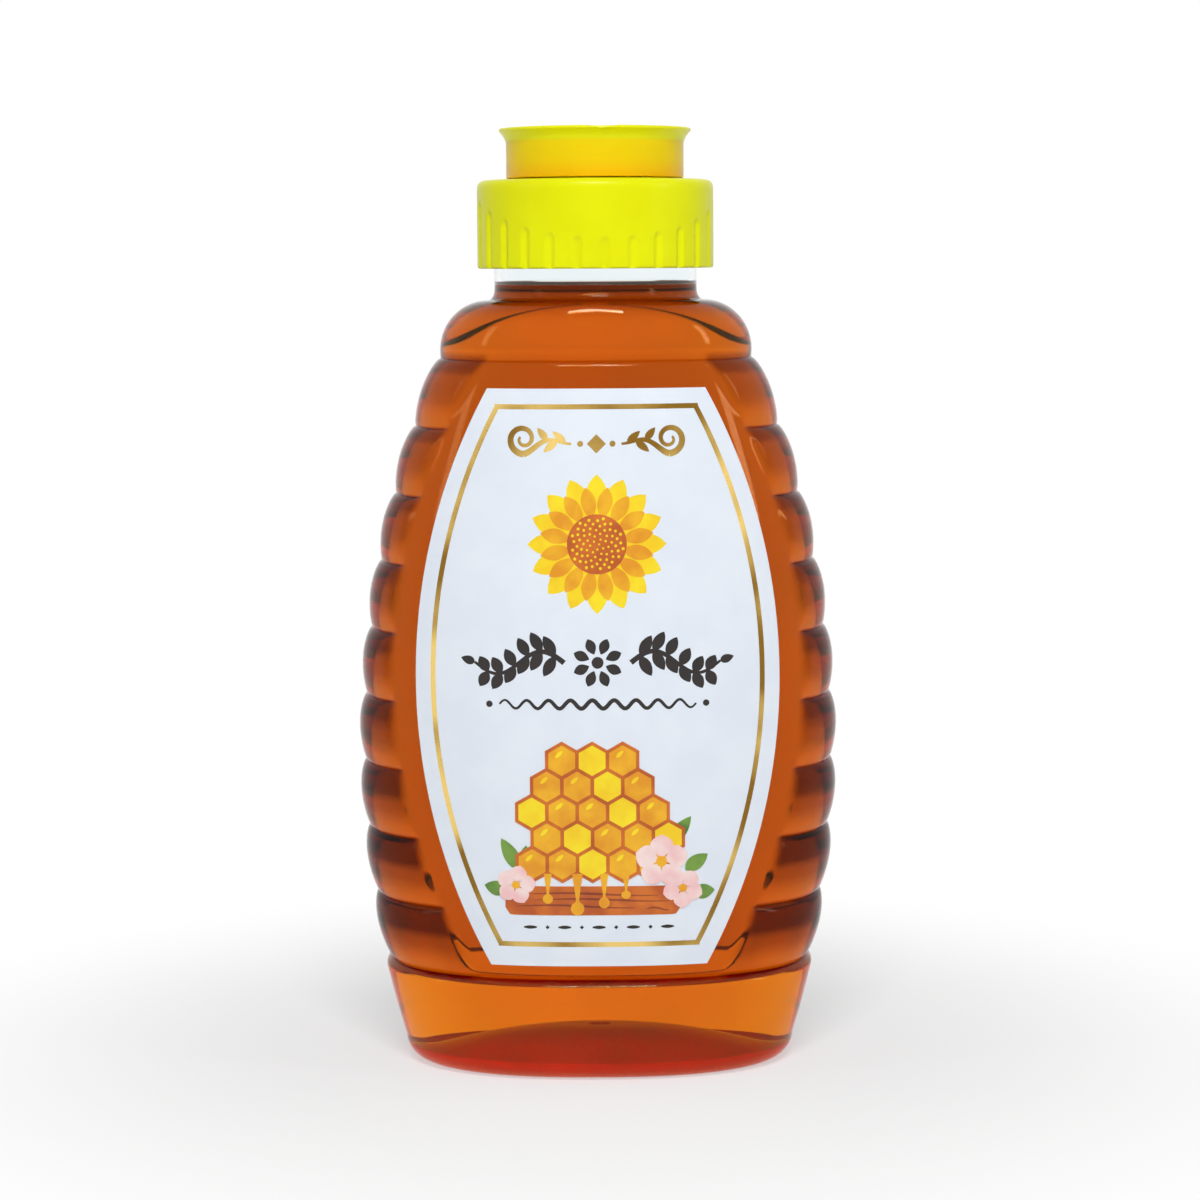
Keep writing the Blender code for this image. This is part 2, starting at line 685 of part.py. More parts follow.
def make_lid(material, parent, axis_place):
    """The flip lid, a cup with a flared rim and the plug that seals the spout."""
    flare_start = LID_TOP - LID_EDGE - LID_FLARE_HEIGHT
    rim = LID_RADIUS + LID_FLARE
    roof = LID_TOP - LID_ROOF
    plug = ORIFICE_RADIUS - SEAT_GAP
    plug_end = SPOUT_TOP - PLUG_REACH
    outline = [
        (LID_RADIUS - LID_WALL, LID_BOTTOM),
        (LID_RADIUS, LID_BOTTOM),
        (LID_RADIUS, flare_start),
        (LID_RADIUS + LID_FLARE / 4, flare_start + LID_FLARE_HEIGHT / 2),
    ]
    outline += quarter_round(rim, LID_TOP, LID_EDGE, steps=2)
    outline += [
        (0.0, LID_TOP),
        (0.0, roof),
        (plug - PLUG_WALL, roof),
        (plug - PLUG_WALL, plug_end),
        (plug - PLUG_TAPER, plug_end),
        (plug, SPOUT_TOP),
        (plug, roof),
        (LID_RADIUS - LID_WALL, roof),
    ]
    lid = turned("flip_lid", outline, material, parent, ROUND_FACETS, axis_place.z)
    for vert in lid.data.vertices:
        vert.co.y -= axis_place.y

    half_chord = NOTCH_WIDTH / 2
    scoop_radius = (half_chord ** 2 + NOTCH_DEPTH ** 2) / (2 * NOTCH_DEPTH)
    scoop = bmesh.new()
    front = -rim - CUT_OVERRUN - axis_place.y
    back = -LID_RADIUS + LID_WALL - axis_place.y
    scoop_height = LID_TOP - NOTCH_DEPTH + scoop_radius - axis_place.z
    place = Matrix.Translation((0.0, (front + back) / 2, scoop_height))
    bmesh.ops.create_cone(
        scoop, cap_ends=True, segments=SCOOP_FACETS, radius1=scoop_radius,
        radius2=scoop_radius, depth=back - front,
        matrix=place @ Matrix.Rotation(pi / 2, 4, "X"),
    )
    combine(lid, guide_from(scoop, "notch_cutter", parent), "thumb_notch")
    return lid


def make_hinge(material, parent, axis_place):
    """The living hinge: a thin leaf from the lid's wall to its bending line."""
    half = HINGE_LEAF_THICKNESS / 2
    back = half
    front = -HINGE_AXIS_BACK + sqrt(LID_RADIUS ** 2 - HINGE_HALF_WIDTH ** 2)
    leaf = object_from(
        box_mesh((-HINGE_HALF_WIDTH, front, -half), (HINGE_HALF_WIDTH, back, half)),
        "living_hinge", material, parent,
    )
    wall = bmesh.new()
    bmesh.ops.create_cone(
        wall, cap_ends=True, segments=ROUND_FACETS * 2, radius1=LID_RADIUS + SEAT_GAP,
        radius2=LID_RADIUS + SEAT_GAP, depth=HINGE_LEAF_THICKNESS + 2 * CUT_OVERRUN,
        matrix=Matrix.Translation((0.0, -axis_place.y, 0.0)),
    )
    combine(leaf, guide_from(wall, "lid_wall_cutter", parent), "lid_wall")
    for side in (-1, 1):
        middle = side * HINGE_SLOT_PLACE
        slot = box_mesh(
            (middle - HINGE_SLOT_WIDTH / 2, back - HINGE_SLOT_LENGTH, -half - CUT_OVERRUN),
            (middle + HINGE_SLOT_WIDTH / 2, back + CUT_OVERRUN, half + CUT_OVERRUN),
        )
        name = "left_slot" if side < 0 else "right_slot"
        combine(leaf, guide_from(slot, f"{name}_cutter", parent), name)
    return leaf


def make_closure(materials):
    """The closure's pieces hang on two empties: the screw axis and the hinge axis."""
    turn_axis = make_empty("screw_axis", (0.0, 0.0, MOUTH_HEIGHT), turn=STOP_ANGLE)
    hinge_place = Vector((0.0, HINGE_AXIS_BACK, HINGE_AXIS_HEIGHT))
    hinge_axis = make_empty(
        "hinge_axis", hinge_place - Vector((0.0, 0.0, MOUTH_HEIGHT)), turn_axis
    )
    make_liner(materials["liner"], turn_axis, MOUTH_HEIGHT)
    make_retainer(materials["retainer"], turn_axis, MOUTH_HEIGHT)
    make_valve(materials["silicone"], turn_axis, MOUTH_HEIGHT)
    make_closure_base(materials["closure"], turn_axis, MOUTH_HEIGHT)
    make_lid(materials["lid"], hinge_axis, hinge_place)
    make_hinge(materials["hinge"], hinge_axis, hinge_place)


def make_materials():
    yellow = (0.86, 0.80, 0.01)
    return {
        "bottle": make_material("clear_pet", (0.95, 0.95, 0.92), 0.08, 0.9, 1.55),
        "honey": make_material("honey", (0.60, 0.17, 0.01), 0.05, 0.6, 1.49),
        "label": make_material("label_film", (0.82, 0.86, 0.93), 0.4),
        "closure": make_material("yellow_closure", yellow, 0.35),
        "lid": make_material("yellow_lid", yellow, 0.35),
        "hinge": make_material("yellow_hinge", yellow, 0.4),
        "silicone": make_material("clear_silicone", (0.75, 0.76, 0.74), 0.45),
        "retainer": make_material("natural_retainer", (0.80, 0.80, 0.77), 0.4),
        "liner": make_material("foam_liner", (0.88, 0.88, 0.86), 0.7),
        "guide": make_material("guide", (0.5, 0.5, 0.5), 0.5),
    }


def main():
    remove_everything()
    materials = make_materials()
    make_bottle(materials["bottle"])
    make_honey(materials["honey"])
    make_label(materials["label"])
    make_closure(materials)


main()
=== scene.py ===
"""The looks of a squeezable honey bottle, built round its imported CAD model.

A clear ribbed bottle full of honey stands on a pale floor. It carries a printed paper
label and a yellow screw closure with a spout, a slit valve and a lid that flips back.
All lengths are in metres, +Z is up and the front of the bottle faces -Y.
"""
from collections import namedtuple
from math import atan2, acos, cos, hypot, pi, radians, sin, sqrt

import bmesh
import bpy
from mathutils import Matrix, Vector


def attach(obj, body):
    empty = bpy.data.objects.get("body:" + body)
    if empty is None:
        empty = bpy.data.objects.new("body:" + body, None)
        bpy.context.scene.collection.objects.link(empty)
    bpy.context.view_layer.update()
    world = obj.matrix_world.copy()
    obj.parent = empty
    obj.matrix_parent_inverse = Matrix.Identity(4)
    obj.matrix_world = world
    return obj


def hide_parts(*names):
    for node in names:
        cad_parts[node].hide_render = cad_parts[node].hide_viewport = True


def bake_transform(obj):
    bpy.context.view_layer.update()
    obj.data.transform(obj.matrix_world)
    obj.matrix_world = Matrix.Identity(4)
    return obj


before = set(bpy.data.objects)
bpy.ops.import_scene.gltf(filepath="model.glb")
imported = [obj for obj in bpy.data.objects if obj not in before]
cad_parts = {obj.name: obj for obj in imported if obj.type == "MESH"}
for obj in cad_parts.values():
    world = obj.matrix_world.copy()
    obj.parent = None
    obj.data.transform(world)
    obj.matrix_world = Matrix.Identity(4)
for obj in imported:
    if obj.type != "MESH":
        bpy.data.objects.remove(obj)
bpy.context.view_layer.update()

MM = 0.001

# Bottle body, measured over the crests of its ribs
BODY_HALF_WIDTH = 41.8 * MM
BODY_HALF_DEPTH = 26.4 * MM
WIDEST_HEIGHT = 55.0 * MM
SKIN_MARGIN = 0.006 * MM  # the barrel's skin lies this far inside its widest outline
BODY_CORNER_POWER = 2.4  # superellipse power of the body's plan
ROUND_POWER = 2.0  # the power that gives an ellipse or a circle
BODY_WALL = 0.6 * MM
RIB_COUNT = 9
RIB_PITCH = 11.64 * MM
RIB_DEPTH = 1.25 * MM
LOWEST_GROOVE_HEIGHT = 17.9 * MM
GROOVE_LIP = 1.5 * MM
RIB_RISE_POWER = 0.8  # below 1, a rib is fullest above its middle
RIB_ROUND_POWER = 0.7  # below 1, a rib is fuller than half a sine wave

# Smooth label panel between the ribs
PANEL_SIDE_MARGIN = 7.8 * MM
PANEL_TOP_MARGIN = 9.0 * MM
PANEL_RAMP = 1.4 * MM
PANEL_LEVEL_SHARE = 0.45
PANEL_MIDDLE_HEIGHT = 69.0 * MM

# Base
HEEL_RADIUS = 4.0 * MM
STAND_RING_WIDTH = 1.8 * MM
PUSH_UP_STEP = 1.5 * MM
PUSH_UP_HEIGHT = 6.5 * MM
DOME_POWER = 2.3
NUB_RADIUS = 2.4 * MM
NUB_HEIGHT = 1.2 * MM
PUSH_UP_FACING = 0.3  # a low face of the wall that looks up more than this is the push-up's

# Shoulder and neck
SHOULDER_HALF_WIDTH = 27.0 * MM
SHOULDER_HALF_DEPTH = 21.0 * MM
SHOULDER_SIDE_STEP = 1.2 * MM
SHOULDER_FRONT_STEP = 0.8 * MM
SHOULDER_WALL_HEIGHT = 1.4 * MM
SHOULDER_ROUND_HEIGHT = 8.5 * MM
NECK_RADIUS = 17.5 * MM
NECK_ROOT_FLARE = 1.1 * MM
NECK_ROOT_RISE = 2.0 * MM
NECK_LENGTH = 17.7 * MM
NECK_WALL = 1.2 * MM

# Screw thread of the neck and the collar
THREAD_PITCH = 4.23 * MM
THREAD_DEPTH = 1.2 * MM
THREAD_HALF_WIDTH = 0.9 * MM
THREAD_TURNS = 1.6
THREAD_DROP = 8.6 * MM  # from the mouth down to the start of the neck's thread
THREAD_RUN_OUT = 0.35  # radians over which an end of the thread fades
THREAD_CREST_SHARE = 0.45  # of its half width that stands at full depth

# Honey
HONEY_WALL_SHARE = 0.5  # it wets the wall, so its skin lies this far into it
FILL_ABOVE_ROOT = 0.5 * MM
MENISCUS_RISE = 0.7 * MM
MENISCUS_REACH = 1.3 * MM

# Label and its print
LABEL_LIFT = 0.12 * MM  # its back over the panel
LABEL_THICKNESS = 0.25 * MM
LABEL_SIDE_MARGIN = 3.2 * MM
LABEL_ARC_EXTRA = 3.6 * MM
LABEL_TOP_MARGIN = 4.6 * MM
LABEL_BOTTOM_MARGIN = 2.6 * MM
INK_SINK = 0.03 * MM
INK_STEP = 0.02 * MM  # each layer of ink stands this much higher
INK_COLUMN = 1.6 * MM  # flat shapes are cut this fine before they are bent
INK_ROW = 6.0 * MM

# Closure
THREAD_ROOM = 1.6 * MM  # from the neck's wall out to the collar's bore
COLLAR_WALL = 1.3 * MM
COLLAR_HEIGHT = 15.1 * MM
COLLAR_TOP_ROUND = 1.6 * MM
COLLAR_BOTTOM_ROUND = 0.5 * MM
DECK_THICKNESS = 1.5 * MM
STOP_ANGLE = radians(4.6)
FLUTE_COUNT = 27
FLUTE_RADIUS = 0.8 * MM
FLUTE_DEPTH = 0.45 * MM
FLUTE_FRONT_HEIGHT = 4.4 * MM
FLUTE_SWOOP = 7.5 * MM
FLUTE_TOP_MARGIN = 3.0 * MM
SEAT_GAP = 0.3 * MM
LINER_THICKNESS = 0.7 * MM
LINER_WIDTH = 7.6 * MM
POCKET_RADIUS = 8.0 * MM
RETAINER_THICKNESS = 1.0 * MM
RETAINER_WIDTH = 2.0 * MM
VALVE_FLANGE_THICKNESS = 1.0 * MM
VALVE_SLEEVE_HEIGHT = 1.9 * MM
VALVE_SLEEVE_THICKNESS = 0.5 * MM
VALVE_HEAD_THICKNESS = 0.8 * MM
VALVE_DISH = 0.7 * MM
SLIT_LENGTH = 6.4 * MM
SLIT_WIDTH = 0.16 * MM
BOSS_WALL = 1.2 * MM
BOSS_ROOF = 1.1 * MM
ORIFICE_RADIUS = 5.3 * MM
SPOUT_WALL = 1.9 * MM
SPOUT_HEIGHT = 2.8 * MM
SPOUT_ROUND = 0.6 * MM
LID_INSET = 5.1 * MM
LID_HEIGHT = 8.5 * MM
LID_WALL = 1.1 * MM
LID_ROOF = 1.2 * MM
LID_FLARE = 1.3 * MM
LID_FLARE_HEIGHT = 2.3 * MM
LID_FLARE_POWER = 1.7
LID_EDGE = 0.35 * MM
LID_RIM_WIDTH = 2.6 * MM
LID_DISH = 0.35 * MM
LID_DISH_SLOPE = 0.7 * MM
PLUG_WALL = 1.0 * MM
PLUG_TAPER = 0.35 * MM
PLUG_REACH = 1.1 * MM
NOTCH_WIDTH = 4.7 * MM
NOTCH_DEPTH = 0.5 * MM
HINGE_OFFSET = 1.7 * MM
HINGE_HALF_WIDTH = 6.5 * MM
HINGE_LEAF_THICKNESS = 0.5 * MM
HINGE_WEB_THICKNESS = 0.3 * MM
HINGE_BEND = 0.45 * MM  # half the length of the part that bends
HINGE_SLOT_PLACE = 3.2 * MM
HINGE_SLOT_WIDTH = 0.9 * MM
HINGE_SLOT_REACH = 0.6 * MM
HINGE_RAIL_WIDTH = 1.0 * MM
HINGE_RAIL_HEIGHT = 0.5 * MM
EDGE_ROUND = 0.2 * MM
RUN_PAST = 1.0 * MM  # how far a cutter runs past what it cuts

# Heights and radii that follow
HIGHEST_GROOVE_HEIGHT = LOWEST_GROOVE_HEIGHT + RIB_COUNT * RIB_PITCH
SHOULDER_START = HIGHEST_GROOVE_HEIGHT + SHOULDER_WALL_HEIGHT
SHOULDER_TOP = SHOULDER_START + SHOULDER_ROUND_HEIGHT
NECK_START = SHOULDER_TOP + NECK_ROOT_RISE
FILL_HEIGHT = NECK_START + FILL_ABOVE_ROOT
MOUTH_HEIGHT = SHOULDER_TOP + NECK_LENGTH
DECK_UNDERSIDE = MOUTH_HEIGHT + SEAT_GAP + LINER_THICKNESS + SEAT_GAP
DECK_TOP = DECK_UNDERSIDE + DECK_THICKNESS
COLLAR_BOTTOM = DECK_TOP - COLLAR_HEIGHT
VALVE_FLANGE_BOTTOM = DECK_UNDERSIDE + RETAINER_THICKNESS + SEAT_GAP
VALVE_FLANGE_TOP = VALVE_FLANGE_BOTTOM + VALVE_FLANGE_THICKNESS
POCKET_TOP = VALVE_FLANGE_TOP + SEAT_GAP
BOSS_TOP = POCKET_TOP + BOSS_ROOF
SPOUT_TOP = BOSS_TOP + SPOUT_HEIGHT
LID_BOTTOM = DECK_TOP + SEAT_GAP
LID_TOP = LID_BOTTOM + LID_HEIGHT
COLLAR_BORE = NECK_RADIUS + THREAD_ROOM
COLLAR_RADIUS = COLLAR_BORE + COLLAR_WALL
LID_RADIUS = COLLAR_RADIUS - LID_INSET
BOSS_RADIUS = POCKET_RADIUS + BOSS_WALL
SPOUT_RADIUS = ORIFICE_RADIUS + SPOUT_WALL
HINGE_AXIS_BACK = LID_RADIUS + HINGE_OFFSET
HINGE_AXIS_HEIGHT = LID_BOTTOM + HINGE_LEAF_THICKNESS / 2
HINGE_RAIL_FRONT = HINGE_AXIS_BACK + HINGE_LEAF_THICKNESS / 2 + SEAT_GAP
PANEL_HALF_WIDTH = BODY_HALF_WIDTH - PANEL_SIDE_MARGIN
LABEL_BOTTOM = LOWEST_GROOVE_HEIGHT + LABEL_BOTTOM_MARGIN
LABEL_TOP = HIGHEST_GROOVE_HEIGHT - LABEL_TOP_MARGIN
LABEL_MIDDLE = (LABEL_BOTTOM + LABEL_TOP) / 2
LABEL_FRONT = LABEL_LIFT + LABEL_THICKNESS

# The honey's painted light and shade, which tints the wetted wall that the honey is seen through,
# and the colours that stand at some of its values
PAINTED_SHADE_LAYER = "honey_painted_shade"
DOME_PAINTED_LIGHT = 0.0  # painted deep-red light over the push-up
DEEPEST_PAINTED_SHADE = 0.12  # the deepest painted shade
BELT_PAINTED_LIGHT = 1.0  # the lightest painted light
HONEY_PAINTED_SHADES = (
    (DOME_PAINTED_LIGHT, (0.85, 0.06, 0.08)),
    (DEEPEST_PAINTED_SHADE, (0.17, 0.065, 0.04)),
    (0.45, (0.56, 0.31, 0.11)),
    (0.75, (0.92, 0.62, 0.22)),
    (BELT_PAINTED_LIGHT, (1.0, 0.8, 0.3)),
)
# Painted shade and light of the lowest groove, the panels, the shoulder and the neck
GROOVE_PAINTED_SHADE = 0.3
PANEL_PAINTED_SHADE = 0.64
SHOULDER_PAINTED_SHADE = 0.75
NECK_PAINTED_SHADE = 0.3
SHOULDER_PAINTED_SHADE_FADE = (0.6, 1.5)  # radians of its rounding over which it turns to the neck's

# A rib's painted shade and light, with a band of painted shade under its groove, on the highest
# rib and on the lowest, in which the painted band is darker
RIB_DEEP_PAINTED_SHADES = (0.28, DEEPEST_PAINTED_SHADE)
RIB_MIDDLE_PAINTED_SHADES = (0.5, 0.4)
RIB_PAINTED_LIGHTS = (0.86, 0.74)
RIB_BAND_SHARES = (0.12, 0.38)
RIB_BAND_FADE_SHARE = 0.12
RIB_LIGHT_SHARES = (0.5, 0.92)  # where any rib's painted light starts, and where it is full

# How finely the pieces are divided
SIDE_SPANS = 44
RAMP_SPANS = 3
PANEL_SPANS = 46
BODY_COLUMNS = 2 * (SIDE_SPANS + 2 * RAMP_SPANS + PANEL_SPANS)
# How far down a rib its rows lie, closest where it bends most
RIB_SHARES = (0.0, 0.03, 0.08, 0.15, 0.24, 0.35, 0.47, 0.6, 0.72, 0.82, 0.9, 0.96)
NUB_STEPS = 5
DOME_STEPS = 14
PUSH_UP_STEP_SHARES = (0.3, 0.7, 1.0)
HEEL_STEPS = 7
BELT_STEPS = 8
LIP_STEPS = 4
SHOULDER_STEPS = 18
ROOT_STEPS = 5
NECK_STEP = 0.32 * MM
MENISCUS_RING_SHARES = (0.12, 0.3, 0.6, 1.0, 1.6, 3.0, 6.0, 10.0)  # of its reach
LABEL_COLUMNS = 64
LABEL_ROWS = 90
COLLAR_COLUMNS = 16 * FLUTE_COUNT
LID_COLUMNS = 240
LID_FLARE_STEPS = 8
SMALL_COLUMNS = 96
HINGE_COLUMNS = 52
HINGE_ROWS = 20
FINE_STEP = 0.4 * MM
MERGE_DISTANCE = 0.001 * MM
WALL_TOLERANCE = 0.02 * MM  # a vertex this near to a round wall belongs to it
CORNER_REACH_SHARE = 0.49  # of a side, which a rounded corner may take up
MITRE_LIMIT = 1.3  # how much deeper than a flat part a corner of a skin may move
SHARP_ANGLE = radians(40)  # an edge that bends more than this looks sharp


# Mesh helpers


def finish_piece(bm, name, material, body, *nodes):
    """Turn a bmesh into a piece that rides on a body and stands for CAD nodes."""
    mesh = bpy.data.meshes.new(name)
    bm.to_mesh(mesh)
    bm.free()
    mesh.shade_smooth()
    mesh.set_sharp_from_angle(angle=SHARP_ANGLE)
    piece = bpy.data.objects.new(name, mesh)
    mesh.materials.append(material)
    bpy.context.scene.collection.objects.link(piece)
    if body:
        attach(piece, body)
    if nodes:
        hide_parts(*nodes)
    return piece


def point_outwards(bm):
    """Make the faces of one connected mesh agree, and point them away from its middle."""
    bmesh.ops.recalc_face_normals(bm, faces=bm.faces)
    bm.normal_update()
    farthest = max(bm.verts, key=lambda vert: vert.co.x)
    if farthest.normal.x < 0.0:
        bmesh.ops.reverse_faces(bm, faces=bm.faces)
        bm.normal_update()


def part_verts(parts):
    """The vertices among the parts that an operator gives back."""
    return [part for part in parts if isinstance(part, bmesh.types.BMVert)]


def open_edges(bm):
    return [edge for edge in bm.edges if edge.is_boundary]


def softened(corners, steps=4):
    """A closed outline with rounded corners, from (radius, height, rounding) corners."""
    outline = []
    for index, (across, up, rounding) in enumerate(corners):
        corner = Vector((across, up))
        before = Vector(corners[index - 1][:2]) - corner
        after = Vector(corners[(index + 1) % len(corners)][:2]) - corner
        if not rounding:
            outline.append(corner)
            continue
        longest = CORNER_REACH_SHARE * min(before.length, after.length)
        reach = min(rounding, longest)
        start = corner + before.normalized() * reach
        end = corner + after.normalized() * reach
        for step in range(steps + 1):
            share = step / steps
            first = start.lerp(corner, share)
            outline.append(first.lerp(corner.lerp(end, share), share))
    return outline


def refined(outline, longest):
    """The closed outline with its upright parts divided, for threads and flutes."""
    points = []
    for here, there in zip(outline, outline[1:] + outline[:1]):
        upright = abs(there.x - here.x) < MERGE_DISTANCE
        parts = max(1, round((there - here).length / longest)) if upright else 1
        points += [here.lerp(there, part / parts) for part in range(parts)]
    return points


def spun(outline, columns):
    """A closed solid turned about Z from a closed outline of (radius, height)."""
    bm = bmesh.new()
    verts = [bm.verts.new((max(point.x, 0.0), 0.0, point.y)) for point in outline]
    edges = [bm.edges.new(pair) for pair in zip(verts, verts[1:] + verts[:1])]
    bmesh.ops.spin(
        bm, geom=verts + edges, cent=(0, 0, 0), axis=(0, 0, 1), angle=2 * pi,
        steps=columns, use_merge=True,
    )
    bmesh.ops.remove_doubles(bm, verts=bm.verts, dist=MERGE_DISTANCE)
    loose = [edge for edge in bm.edges if not edge.link_faces]
    bmesh.ops.delete(bm, geom=loose, context="EDGES")
    point_outwards(bm)
    return bm


def smooth_step(value, low, high):
    share = min(max((value - low) / (high - low), 0.0), 1.0)
    return share * share * (3.0 - 2.0 * share)


def part_way(start, end, share):
    return start + (end - start) * share


def rounded_box(low, high, rounding):
    """A box between two corners, with rounded edges."""
    bm = bmesh.new()
    size = [far - near for near, far in zip(low, high)]
    middle = [(near + far) / 2 for near, far in zip(low, high)]
    bmesh.ops.create_cube(
        bm, size=1.0, matrix=Matrix.Translation(middle) @ Matrix.Diagonal((*size, 1.0))
    )
    bmesh.ops.bevel(
        bm, geom=bm.edges[:], offset=rounding, segments=3, profile=0.5,
        affect="EDGES", material=-1,
    )
    return bm


def turn_to_stop(bm):
    """The closure's pieces are made facing the front, then turned to the thread's stop."""
    bmesh.ops.rotate(
        bm, verts=bm.verts, cent=(0, 0, 0), matrix=Matrix.Rotation(STOP_ANGLE, 3, "Z")
    )


# Shader helpers

GRAIN_SCALE = 4000.0
DRIFT_SCALE = 60.0
SPECKLE_DETAIL = {"Grain": 3.0, "Drift": 2.0}


def node_of(tree, kind, **settings):
    node = tree.nodes.new(kind)
    for name, value in settings.items():
        setattr(node, name, value)
    return node


def set_inputs(node, values):
    """Set a node's own inputs, given by their names."""
    for name, value in values.items():
        node.inputs[name].default_value = value


def make_speckle_group():
    """Fine grain and slow drift over a surface, on the Object coordinates."""
    group = bpy.data.node_groups.new("speckle", "ShaderNodeTree")
    new_socket = group.interface.new_socket
    start = node_of(group, "NodeGroupInput")
    end = node_of(group, "NodeGroupOutput")
    place = node_of(group, "ShaderNodeTexCoord")
    for name, scale in (("Grain", GRAIN_SCALE), ("Drift", DRIFT_SCALE)):
        scale_name = name + " Scale"
        new_socket(scale_name, in_out="INPUT", socket_type="NodeSocketFloat").default_value = scale
        new_socket(name, in_out="OUTPUT", socket_type="NodeSocketFloat")
        texture = node_of(group, "ShaderNodeTexNoise")
        set_inputs(texture, {"Detail": SPECKLE_DETAIL[name]})
        group.links.new(place.outputs["Object"], texture.inputs["Vector"])
        group.links.new(start.outputs[scale_name], texture.inputs["Scale"])
        group.links.new(texture.outputs["Fac"], end.inputs[name])
    return group


speckle = make_speckle_group()


def srgb(red, green, blue):
    """A linear colour from the three values that a picture of it has, 0 to 255."""
    def linear(value):
        share = value / 255.0
        return share / 12.92 if share <= 0.04045 else ((share + 0.055) / 1.055) ** 2.4

    return linear(red), linear(green), linear(blue)


def shader_of(material):
    return material.node_tree.nodes["Principled BSDF"]


def new_material(name, roughness, spread, colours, grain=GRAIN_SCALE, drift=DRIFT_SCALE,
                 bump=0.0, drift_range=(0.35, 0.65)):
    """A Principled material whose colour drifts between two colours.

    Its roughness varies with the fine grain, which also lifts the surface by bump.
    """
    material = bpy.data.materials.new(name)
    material.use_nodes = True
    tree = material.node_tree
    shader = shader_of(material)
    effect = node_of(tree, "ShaderNodeGroup", node_tree=speckle)
    set_inputs(effect, {"Grain Scale": grain, "Drift Scale": drift})
    ramp = node_of(tree, "ShaderNodeValToRGB")
    for element, place, colour in zip(ramp.color_ramp.elements, drift_range, colours):
        element.position = place
        element.color = (*colour, 1.0)
    tree.links.new(effect.outputs["Drift"], ramp.inputs["Fac"])
    tree.links.new(ramp.outputs["Color"], shader.inputs["Base Color"])
    gloss = node_of(tree, "ShaderNodeMapRange")
    set_inputs(gloss, {"To Min": roughness - spread, "To Max": roughness + spread})
    tree.links.new(effect.outputs["Grain"], gloss.inputs["Value"])
    tree.links.new(gloss.outputs["Result"], shader.inputs["Roughness"])
    if bump:
        relief = node_of(tree, "ShaderNodeBump")
        set_inputs(relief, {"Distance": bump})
        tree.links.new(effect.outputs["Grain"], relief.inputs["Height"])
        tree.links.new(relief.outputs["Normal"], shader.inputs["Normal"])
    return material


def tint_along(material, value, stops):
    """Multiply a material's colour by colours that stand at places along a value."""
    tree = material.node_tree
    base = shader_of(material).inputs["Base Color"]
    ramp = node_of(tree, "ShaderNodeValToRGB")
    for _ in stops[2:]:
        ramp.color_ramp.elements.new(0.5)
    for element, (place, colour) in zip(ramp.color_ramp.elements, stops):
        element.position = place
        element.color = (*colour, 1.0)
    tinted = node_of(tree, "ShaderNodeMix", data_type="RGBA", blend_type="MULTIPLY")
    set_inputs(tinted, {"Factor": 1.0})
    tree.links.new(value, ramp.inputs["Fac"])
    tree.links.new(base.links[0].from_socket, tinted.inputs["A"])
    tree.links.new(ramp.outputs["Color"], tinted.inputs["B"])
    tree.links.new(tinted.outputs["Result"], base)


# Materials

# How strongly each material bends light. Where honey wets the wall the two bend it almost
# as one, so the wetted wall has little to do and the honey's skin most.
CLEAR_WALL_IOR = 1.5
WETTED_WALL_IOR = 1.15
PUSH_UP_IOR = 1.12
HONEY_IOR = 1.44
YELLOW_IOR = 1.45

PUSH_UP_CLEARNESS = 0.08
HONEY_DEPTH_COLOUR = (0.985, 0.855, 0.1, 1.0)
HONEY_DEPTH_DENSITY = 205.0
HONEY_GLOSS_TINT = (1.0, 0.85, 0.6, 1.0)
YELLOW_GLOSS_LEVEL = 0.18
SILICONE_MILKINESS = 0.3
SILICONE_DEPTH = 1.0 * MM  # how far light spreads in it

# The lid's yellows, at shares of its height from the deck up to its flare: painted shade makes the
# waist warmer and darker, most down by the deck, under a lemon flare
FLARE_SHARE = 1.0 - LID_FLARE_HEIGHT / LID_HEIGHT
LID_PAINTED_SHADE_YELLOWS = (
    (0.0, srgb(252, 190, 0)),
    (0.35, srgb(250, 214, 0)),
    (FLARE_SHARE - 0.03, srgb(247, 218, 0)),
    (FLARE_SHARE + 0.05, srgb(243, 243, 6)),
)


def make_clear_plastic(name, ior):
    """Blown bottle plastic: clear, glossy and very slightly wavy."""
    material = new_material(
        name, roughness=0.03, spread=0.02, colours=(srgb(250, 252, 252), srgb(243, 248, 250)),
        grain=700.0, drift=40.0, bump=0.0015 * MM,
    )
    set_inputs(shader_of(material), {"Transmission Weight": 1.0, "IOR": ior})
    return material


def make_push_up_painted_light():
    """The push-up painted deep red, the colour of light that has come far through honey, with
    little light through it.
    """
    material = new_material(
        "push_up_painted_light", roughness=0.12, spread=0.05,
        colours=(srgb(255, 0, 24), srgb(244, 0, 28)), grain=900.0,
    )
    set_inputs(
        shader_of(material), {"Transmission Weight": PUSH_UP_CLEARNESS, "IOR": PUSH_UP_IOR}
    )
    return material


def make_wetted_plastic_painted_shade():
    """The clear wall where honey wets it, its colour multiplied by the honey's painted light and
    shade.
    """
    material = make_clear_plastic("wetted_plastic_painted_shade", WETTED_WALL_IOR)
    painted_shade = node_of(material.node_tree, "ShaderNodeAttribute", attribute_name=PAINTED_SHADE_LAYER)
    tint_along(material, painted_shade.outputs["Fac"], HONEY_PAINTED_SHADES)
    return material


